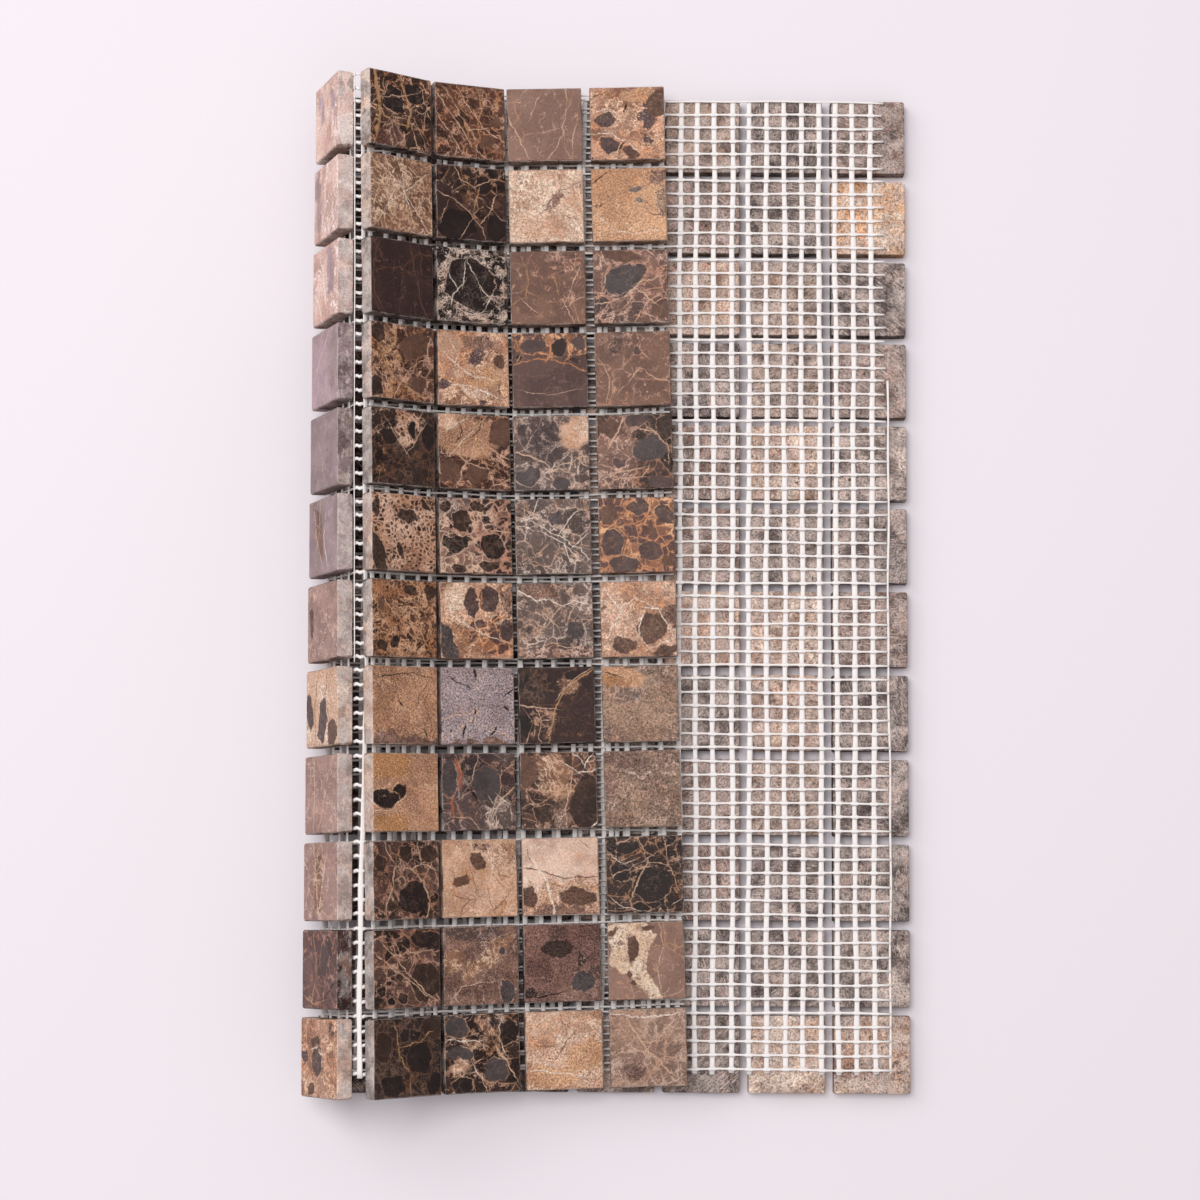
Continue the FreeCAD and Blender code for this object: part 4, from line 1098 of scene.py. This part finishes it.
def chip_faces(start):
    """Faces of one chip, whose vertices begin at a number, and the surface of each: 0 for the
    polished face, 1 for the walls along the fold, 2 for the walls across it and 3 for the back."""
    faces = []
    surfaces = []
    for ring in range(len(RINGS) - 1):
        a = start + ring * RING_SIZE
        b = a + RING_SIZE
        for i in range(RING_SIZE):
            j = (i + 1) % RING_SIZE
            faces.append((a + i, b + i, b + j, a + j))
            if ring < POLISHED_RINGS - 1:
                surfaces.append(0)
            elif ring < WALL_RINGS - 1:
                surfaces.append(1 + i * 4 // RING_SIZE % 2)
            else:
                surfaces.append(3)
    top = start + len(RINGS) * RING_SIZE
    last = start + (len(RINGS) - 1) * RING_SIZE
    for i in range(RING_SIZE):
        j = (i + 1) % RING_SIZE
        faces.append((start + i, start + j, top))
        faces.append((last + j, last + i, top + 1))
        surfaces += [0, 3]
    return faces, surfaces


def wave_round(rng, turns):
    """Smooth closed wave round the outline, between about 0 and 1."""
    t = np.arange(RING_SIZE) / RING_SIZE * 2 * math.pi
    total = np.zeros(RING_SIZE)
    for turn in turns:
        total += np.sin(turn * t + rng.uniform(0, 2 * math.pi)) * rng.uniform(0.4, 1.0)
    return np.clip(0.5 + total / (1.6 * len(turns)), 0.0, 1.0)


def chip_points(rng):
    """Vertices of one chip in its own frame, with its small faults."""
    coarse = wave_round(rng, COARSE_WAVES)
    fine = wave_round(rng, FINE_WAVES)
    chipped = np.zeros(RING_SIZE)
    for _ in range(rng.choice(NICK_COUNTS)):
        where = rng.uniform(0, RING_SIZE)
        gap = np.abs((np.arange(RING_SIZE) - where + RING_SIZE / 2) % RING_SIZE - RING_SIZE / 2)
        nick = np.exp(-(gap / rng.uniform(*NICK_WIDTHS)) ** 2) * rng.uniform(0.2, 0.8)
        chipped = np.maximum(chipped, nick)
    points = []
    for (_, height, _, ragged), outline in zip(RINGS, RING_OUTLINES):
        inward = ragged * (RAGGED_REACH * (coarse * COARSE_SHARE + fine * FINE_SHARE) + NICK_REACH * chipped)
        if ragged >= 1.0:
            inward = inward + BACK_NICK_REACH * np.roll(chipped, NICK_OFFSET)
        xy = outline[:, :2] - outline[:, 2:] * inward[:, None]
        points.append(np.column_stack([xy, np.full(RING_SIZE, height)]))
    points.append(np.array([[0.0, 0.0, CHIP_THICKNESS], [0.0, 0.0, 0.0]]))
    return np.vstack(points)


def new_piece(name, points, faces, materials):
    """A mesh object from points in metres."""
    mesh = bpy.data.meshes.new(name)
    mesh.from_pydata([tuple(p) for p in points], [], faces)
    for material in materials:
        mesh.materials.append(material)
    piece = bpy.data.objects.new(name, mesh)
    bpy.context.scene.collection.objects.link(piece)
    return piece


def keep_places(piece, name, places):
    """Keeps a place for each point of a piece, for its material to read."""
    attribute = piece.data.attributes.new(name, "FLOAT_VECTOR", "POINT")
    attribute.data.foreach_set("vector", np.vstack(places).ravel())



def chip_look(column, row):
    """Kind of marble, way of its threads in degrees or None, and marks of one chip."""
    if column < len(BACK_LAYOUT[row]):
        return BACK_LAYOUT[row][column], None, ()
    letter = column - (COLUMNS - len(FLAP_LETTERS))
    if letter >= 0:
        kind_name, turn, *drawn = FLAP[f"{FLAP_LETTERS[letter]}{row + 1}"]
        return kind_name, turn, [mark for marks in drawn for mark in marks]
    return HIDDEN_KINDS[(column * 5 + row * 3) % len(HIDDEN_KINDS)], None, ()


def chip_column(column):
    """The chips of one column as one piece, each with its kind of marble."""
    points, faces, stone_at, face_at, slots, materials = [], [], [], [], [], []
    for row in range(ROWS):
        kind_name, turn, marks = chip_look(column, row)
        rng = random.Random(CHIP_SEED + column * SEEDS_A_COLUMN + row)
        local = chip_points(rng)
        matrix = np.array(chip_place(column, row))
        new_faces, surfaces = chip_faces(sum(len(p) for p in points))
        faces += new_faces
        face = POLISHED_STONE[kind_name]
        if marks:
            face = polished_material(f"{column + 1:02d}_{row + 1:02d}", kind_name, marks)
        # Painted light and shade by facing: walls that look up at the ridge take the dusty lit look; the
        # other walls, and the backs under the flap, take the painted shade look.
        dust_and_light_wall = column in RIDGE_COLUMNS and (column, row) not in GREY_RIDGE_CHIPS
        looks = ("dust_and_light_wall" if dust_and_light_wall else "shade_and_dark_stone_wall", "shade_and_dark_stone_wall",
                 "shade_and_dark_stone_wall" if column in HIDDEN_COLUMNS else "back")
        stones = [face] + [SAWN_STONE[look, kind_name] for look in looks]
        materials += [stone for stone in stones if stone not in materials]
        numbers = [materials.index(stone) for stone in stones]
        slots += [numbers[surface] for surface in surfaces]
        points.append(local @ matrix[:3, :3].T + matrix[:3, 3] + np.array(ORIGIN))
        angle = rng.uniform(0, 2 * math.pi) if turn is None else math.radians(turn)
        cos, sin = math.cos(angle), math.sin(angle)
        spin = np.array([[cos, -sin, 0], [sin, cos, 0], [0, 0, 1]])
        cut_at = np.array([rng.uniform(-CUT_APART, CUT_APART) for _ in range(3)])
        stone_at.append(local @ spin.T + cut_at)
        face_at.append(local * np.array([1.0, 1.0, 0.0]))
    piece = new_piece(f"chips_{column + 1:02d}", np.vstack(points) * MM, faces, materials)
    piece.data.polygons.foreach_set("material_index", slots)
    keep_places(piece, "stone_at", stone_at)
    keep_places(piece, "face_at", face_at)
    piece.data.set_sharp_from_angle(angle=math.radians(SHARP_ANGLE))
    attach(piece, "root")
    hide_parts(f"tile_column_{column + 1:02d}")


for column in range(COLUMNS):
    chip_column(column)


# Net: its look, and the number of sides of its strands
NET_TONE = (255, 248, 245)
NET_ROUGHNESS = 0.6
NET_SPECULAR = 0.5
NET_BUMP = 0.25
NET_BUMP_DEPTH = 0.0002
WIDE_SECTION_POINTS = 8
THIN_SECTION_POINTS = 5
# Spacing of the rings along a strand, how far it sways, and its long and its short wave
STRAND_STEP = 2.2
WIDE_SWAY = 0.32
WIDE_WAVES = (110.0, 37.0)
THIN_SWAY = 0.22
THIN_WAVES = (70.0, 23.0)
# One turn of a wave, to two decimals
WAVE_TURN = 6.28
# Swelling of the strands' widths: share of the width, and length in mm to a turn of one radian
WIDE_SWELLS = ((0.1, 4.1), (0.05, 1.9))
THIN_SWELLS = ((0.1, 0.85),)
# Scale of the fibres' noise along and across a strand, and its shift from one strand to the next
FIBRE_ALONG = 0.5
FIBRE_ACROSS = 6.0
FIBRE_SHIFT = 7.3
# Ends of the wide strands: how far the far ones stay back, and how uneven both are
FAR_END_MARGIN = 0.1
FAR_END_UNREST = 0.4
NEAR_END_UNREST = 0.5
# How far the strands of the lower layer lie aside at random, and three of them by number, which lie
# under the slanting last joint of the flap. From OPEN_END on the flap hides them.
STRAND_SHIFT = 0.35
MOVED_STRANDS = {16: -2.6, 17: -3.9, 18: -2.2}
OPEN_END = 84.0
# A strand that was cut along its length runs beside the net's free edge from the fourth row on.
CUT_STRAND_DISTANCE = 5.9
CUT_STRAND_WIDTH = 0.7
CUT_STRAND_FAR_Y = FAR_ROW_Y - 3 * PITCH
# Strands at the ridge: points of the net line there, how far under the falling chips the full one
# hides before it comes out into the widening joint, where along the ridge it starts to and by what
# power, and the edge of one behind the standing chips
RIDGE_FIRST = 3
RIDGE_STRAND_HIDDEN = 1.5
RIDGE_STRAND_EMERGES = 0.62
RIDGE_STRAND_POWER = 0.7
EDGE_STRAND_WIDTH = 0.5
EDGE_STRAND_OUT = 0.02
EDGE_STRAND_ROWS = 7
# Ends of the thin strands: distance from the chips' free edge at the far end, how much less it is
# at the near end, how uneven it is, and how far the other ends stay back on the flap
THIN_END = 6.9
THIN_END_DRIFT = 1.2
THIN_END_UNREST = 0.35
THIN_END_MARGIN = 0.5
# Pad of resin over a crossing: distances from the middle of the wide strand, and extra half width
PAD = ((-1.45, 0.0), (-1.05, 0.1), (-0.82, 0.34), (0.82, 0.34), (1.05, 0.1), (1.45, 0.0))
# Over the ridge the thin strands are wider, and bend aside and back. The pad starts a little before
# the ridge, and the plain strand a little further off.
RIDGE_PAD = 0.22
RIDGE_BEND = 0.26
RIDGE_STEP = 0.5
RIDGE_PAD_REACH = 0.4
RIDGE_PLAIN_REACH = 1.2
# Seeds of the wide strands' ends, and of the two strands that have no number
WIDE_SEED = 7000
EDGE_SEED = 98
CUT_SEED = 99


def net_material():
    """Resin-coated glass fibre yarn, with its fibres along it."""
    material, g = new_material("net_white")
    fibre = g.noise(g.attribute("yarn_at", "Vector"), 1.0, 4.0, 0.7)
    colour = g.scaled(tone(*NET_TONE)[:3], g.smooth(fibre, 0.25, 0.75, 0.9, 1.03))
    finish_surface(g, colour, fibre, NET_ROUGHNESS, NET_BUMP, NET_BUMP_DEPTH, NET_SPECULAR)
    return material


NET = net_material()


class Yarns:
    """Strands gathered into one mesh."""

    def __init__(self, sides):
        self.sides = sides
        self.points = []
        self.faces = []
        self.yarn_at = []

    def add(self, centres, sides, normals, widths, thickness, seed):
        """A flattened tube along centres, with its half width at each of them."""
        start = sum(len(p) for p in self.points)
        count = len(centres)
        angles = np.arange(self.sides) / self.sides * 2 * math.pi + math.pi / self.sides
        cos, sin = np.cos(angles), np.sin(angles)
        ring = (centres[:, None, :] + sides[:, None, :] * (cos[None, :, None] * widths[:, None, None])
                + normals[:, None, :] * (sin[None, :, None] * (thickness / 2)))
        self.points.append(ring.reshape(-1, 3))
        length = np.concatenate([[0], np.cumsum(np.linalg.norm(np.diff(centres, axis=0), axis=1))])
        at = np.zeros((count, self.sides, 3))
        # Fibres run along the strand, so the noise changes slowly that way.
        at[:, :, 0] = length[:, None] * FIBRE_ALONG
        at[:, :, 1] = cos[None, :] * widths[:, None] * FIBRE_ACROSS
        at[:, :, 2] = sin[None, :] + seed * FIBRE_SHIFT
        self.yarn_at.append(at.reshape(-1, 3))
        for i in range(count - 1):
            a = start + i * self.sides
            b = a + self.sides
            for k in range(self.sides):
                m = (k + 1) % self.sides
                self.faces.append((a + k, a + m, b + m, b + k))
        self.faces.append(tuple(start + k for k in reversed(range(self.sides))))
        last = start + (count - 1) * self.sides
        self.faces.append(tuple(last + k for k in range(self.sides)))

    def finish_piece(self, name, node):
        """Makes one piece of all strands."""
        points = (np.vstack(self.points) + np.array(ORIGIN)) * MM
        piece = new_piece(name, points, self.faces, [NET])
        keep_places(piece, "yarn_at", self.yarn_at)
        piece.data.polygons.foreach_set("use_smooth", [True] * len(self.faces))
        piece.data.update()
        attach(piece, "root")
        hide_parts(node)


def sway(rng, at, reach, waves):
    """Gentle wandering of a strand from its line, by a long and a short wave."""
    first, second = rng.uniform(0, WAVE_TURN), rng.uniform(0, WAVE_TURN)
    long_wave = np.sin(at / waves[0] * WAVE_TURN + first)
    short_wave = np.sin(at / waves[1] * WAVE_TURN + second)
    return reach * (0.65 * long_wave + 0.35 * short_wave)


def swollen(at, seed, swells):
    """Width of a strand along it, as a share of its plain width."""
    width = 1
    for share, length in swells:
        width = width + share * np.sin(at / length + seed)
    return width


def unit(vectors):
    """Vectors of length 1 along those given."""
    return vectors / np.linalg.norm(vectors, axis=1)[:, None]


def wide_strand(yarns, place_at, far_y, near_y, width, seed, shift=0.0):
    """One flat strand along the fold. place_at gives the matrix at a place along the fold."""
    count = int((far_y - near_y) / STRAND_STEP) + 1
    ys = np.linspace(far_y, near_y, count)
    aside = sway(random.Random(seed), ys, WIDE_SWAY, WIDE_WAVES) + shift
    matrices = np.array([np.array(place_at(y)) for y in ys])
    sides = matrices[:, :3, 0]
    normals = matrices[:, :3, 2]
    centres = matrices[:, :3, 3] + sides * aside[:, None] - normals * WIDE_STRAND_HEIGHT
    widths = width / 2 * swollen(ys, seed, WIDE_SWELLS)
    yarns.add(centres, sides, normals, widths, WIDE_STRAND_THICKNESS, seed)
    return ys, aside


def ridge_place(y):
    """Place of the strand at the ridge: under the falling chips, then out to the joint's middle."""
    out = max(near_share(y) - RIDGE_STRAND_EMERGES, 0.0) / (1 - RIDGE_STRAND_EMERGES)
    under = folded_place(RIDGE_FIRST + 2, RIDGE_FIRST + 3, RIDGE_STRAND_HIDDEN / CHIP_SIDE, y)
    between = folded_place(RIDGE_FIRST + 1, RIDGE_FIRST + 2, 0.5, y)
    return under.lerp(between, min(out, 1.0) ** RIDGE_STRAND_POWER)


def edge_place(y):
    """Place of the strand's edge that shows behind the standing chips at the far end."""
    return folded_place(RIDGE_FIRST, RIDGE_FIRST + 1, (CHIP_SIDE + EDGE_STRAND_OUT) / CHIP_SIDE, y)


def wide_strands():
    """Strands along the fold. Gives the lines of those that lie open, for the pads on them."""
    yarns = Yarns(WIDE_SECTION_POINTS)
    open_strands = []
    far_y = SHEET_LENGTH / 2 - FAR_END_MARGIN
    near_y = -SHEET_LENGTH / 2 + NET_NEAR_MARGIN - STRAND_STUB
    half = WIDE_STRAND_WIDTH / 2
    room = WIDE_SWAY + half
    distance = FIRST_WIDE_STRAND
    seed = 1
    while distance < SHEET_WIDTH - half:
        rng = random.Random(WIDE_SEED + seed)
        column, offset = divmod(distance, PITCH)
        first = 1 + 2 * (int(column) - FLAT_COLUMNS)
        shift = 0.0
        far_end, near_end = far_y, near_y
        if distance < FLAT_END:
            place_at = partial(flat_place, distance)
            shift = MOVED_STRANDS.get(seed, rng.uniform(-STRAND_SHIFT, STRAND_SHIFT))
            far_end -= rng.uniform(0, FAR_END_UNREST)
        elif offset <= CHIP_SIDE:
            kept = min(max(offset, room), CHIP_SIDE - room)
            place_at = partial(folded_place, first, first + 1, kept / CHIP_SIDE)
        elif first == RIDGE_FIRST:
            place_at = ridge_place
        else:
            place_at = partial(folded_place, first + 1, first + 2, 0.5)
        if place_at is not ridge_place:
            near_end -= rng.uniform(-NEAR_END_UNREST, NEAR_END_UNREST)
        ys, aside = wide_strand(yarns, place_at, far_end, near_end, WIDE_STRAND_WIDTH, seed, shift)
        if distance < OPEN_END:
            open_strands.append((ys[::-1], distance + aside[::-1]))
        distance += WIDE_STRAND_SPACING
        seed += 1
    edge_end = FAR_ROW_Y - (EDGE_STRAND_ROWS - 0.5) * PITCH
    wide_strand(yarns, edge_place, far_y, edge_end, EDGE_STRAND_WIDTH, EDGE_SEED)
    cut_place = partial(flat_place, CUT_STRAND_DISTANCE)
    wide_strand(yarns, cut_place, CUT_STRAND_FAR_Y, near_y, CUT_STRAND_WIDTH, CUT_SEED)
    yarns.finish_piece("net_wide", "net_wide_strands")
    return open_strands


OPEN_STRANDS = wide_strands()


def beside(line, distance):
    """Line beside the net line, on the side away from the chips, with mitred corners."""
    result = []
    for i, (x, z) in enumerate(line):
        before = line[max(i - 1, 0)]
        after = line[min(i + 1, len(line) - 1)]
        steps = ((before, line[i]), (line[i], after))
        angles = [math.atan2(b[1] - a[1], b[0] - a[0]) for a, b in steps if a != b]
        middle = math.atan2(sum(math.sin(a) for a in angles), sum(math.cos(a) for a in angles))
        reach = distance / math.cos(middle - angles[0])
        result.append((x + reach * math.sin(middle), z - reach * math.cos(middle)))
    return result


def thin_stations(edge, y, length, ridge):
    """Places along a thin strand from the net's free edge, and how much wider it is at each."""
    at, flare = [0.0], [0.0]
    for ys, distances in OPEN_STRANDS:
        middle = np.interp(y, ys, distances) - edge
        for offset, extra in PAD:
            at.append(middle + offset)
            flare.append(extra)
    for low, high, extra, spacing in (
            (at[-1] + STRAND_STEP, ridge[0] - RIDGE_PLAIN_REACH, 0.0, STRAND_STEP),
            (ridge[0] - RIDGE_PAD_REACH, ridge[1] + RIDGE_PAD_REACH, RIDGE_PAD, RIDGE_STEP),
            (ridge[1] + RIDGE_PLAIN_REACH, length, 0.0, STRAND_STEP)):
        count = max(int((high - low) / spacing), 1) + 1
        at += list(np.linspace(low, high, count))
        flare += [extra] * count
    return np.array(at), np.array(flare)


def thin_strand(yarns, y, seed):
    """One strand across the sheet and round the fold."""
    rng = random.Random(seed)
    edge = THIN_END - THIN_END_DRIFT * near_share(y) + rng.uniform(-THIN_END_UNREST, THIN_END_UNREST)
    line = [(-edge, CHIP_THICKNESS)] + [mix(far, near, y) for far, near in zip(FAR_LINE, NEAR_LINE)]
    outside = beside(line, THIN_STRAND_HEIGHT)
    # The first two points are on the flat part, which doesn't run askew.
    flat = [Vector((x, y, z)) for x, z in outside[:2]]
    path = np.array(flat + [skewed(point, y) for point in outside[2:]])
    lengths = np.concatenate([[0], np.cumsum(np.linalg.norm(np.diff(path, axis=0), axis=1))])
    ridge = lengths[RIDGE_FIRST + 2:RIDGE_FIRST + 4]
    at, flare = thin_stations(edge, y, lengths[-1] - THIN_END_MARGIN, ridge)
    count = len(at)
    centres = np.column_stack([np.interp(at, lengths, path[:, k]) for k in range(3)])
    tangents = unit(np.gradient(centres, axis=0))
    sides = np.tile(np.array([0.0, 1.0, 0.0]), (count, 1))
    sides = unit(sides - tangents * np.sum(sides * tangents, axis=1)[:, None])
    normals = np.cross(tangents, sides)
    along_ridge = np.clip((at - ridge[0]) / (ridge[1] - ridge[0]), 0.0, 1.0)
    bend = RIDGE_BEND * np.sin(along_ridge * 2 * math.pi)
    if seed == 1:
        # The strand at the far end stays inside the sheet's box.
        bend, flare = 0.0, 0.0
    centres = centres + sides * (sway(rng, at, THIN_SWAY, THIN_WAVES) + bend)[:, None]
    widths = THIN_STRAND_WIDTH / 2 * swollen(at, seed, THIN_SWELLS) + flare
    yarns.add(centres, sides, normals, widths, THIN_STRAND_THICKNESS, seed)


def thin_strands():
    """Strands across the sheet, from its far edge to short of its near edge."""
    yarns = Yarns(THIN_SECTION_POINTS)
    y = SHEET_LENGTH / 2 - NET_FAR_MARGIN - THIN_STRAND_WIDTH / 2 - THIN_SWAY
    last = -SHEET_LENGTH / 2 + NET_NEAR_MARGIN
    seed = 1
    while y > last:
        thin_strand(yarns, y, seed)
        y -= THIN_STRAND_SPACING
        seed += 1
    yarns.finish_piece("net_thin", "net_thin_strands")


thin_strands()


# Floor and light, in metres and watts. Each lamp has its place, its size and its power.
FLOOR_TONE = (242, 235, 240)
FLOOR_SIZE = 6.0
FLOOR_ROUGHNESS = 0.9
FLOOR_SPECULAR = 0.1
WORLD_COLOUR = (1.0, 0.985, 1.0, 1.0)
WORLD_STRENGTH = 0.5
LAMPS = (((-0.3, 0.22, 1.5), 0.75, 10.0), ((-1.0, 0.75, 1.0), 1.1, 5.5))


def add_floor():
    """A plain white floor, far wider than the view."""
    half = FLOOR_SIZE / 2
    corners = [(-half, -half, 0), (half, -half, 0), (half, half, 0), (-half, half, 0)]
    material = bpy.data.materials.new("floor")
    material.use_nodes = True
    shader = material.node_tree.nodes["Principled BSDF"]
    shader.inputs["Base Color"].default_value = tone(*FLOOR_TONE)
    shader.inputs["Roughness"].default_value = FLOOR_ROUGHNESS
    shader.inputs["Specular IOR Level"].default_value = FLOOR_SPECULAR
    floor = new_piece("floor", corners, [(0, 1, 2, 3)], [material])


def add_lamp(place, size, power):
    """A round lamp that looks at the frame's origin."""
    data = bpy.data.lights.new("lamp", "AREA")
    data.shape = "DISK"
    data.size = size
    data.energy = power
    lamp = bpy.data.objects.new("lamp", data)
    lamp.location = place
    lamp.rotation_euler = (-Vector(place)).to_track_quat("-Z", "Y").to_euler()
    bpy.context.scene.collection.objects.link(lamp)


def add_lights():
    """A plain world and the lamps."""
    world = bpy.data.worlds.new("world")
    world.use_nodes = True
    background = world.node_tree.nodes["Background"]
    background.inputs["Color"].default_value = WORLD_COLOUR
    background.inputs["Strength"].default_value = WORLD_STRENGTH
    bpy.context.scene.world = world
    for place, size, power in LAMPS:
        add_lamp(place, size, power)
    bpy.context.scene.view_settings.view_transform = "Standard"


add_floor()
add_lights()

bpy.context.view_layer.update()
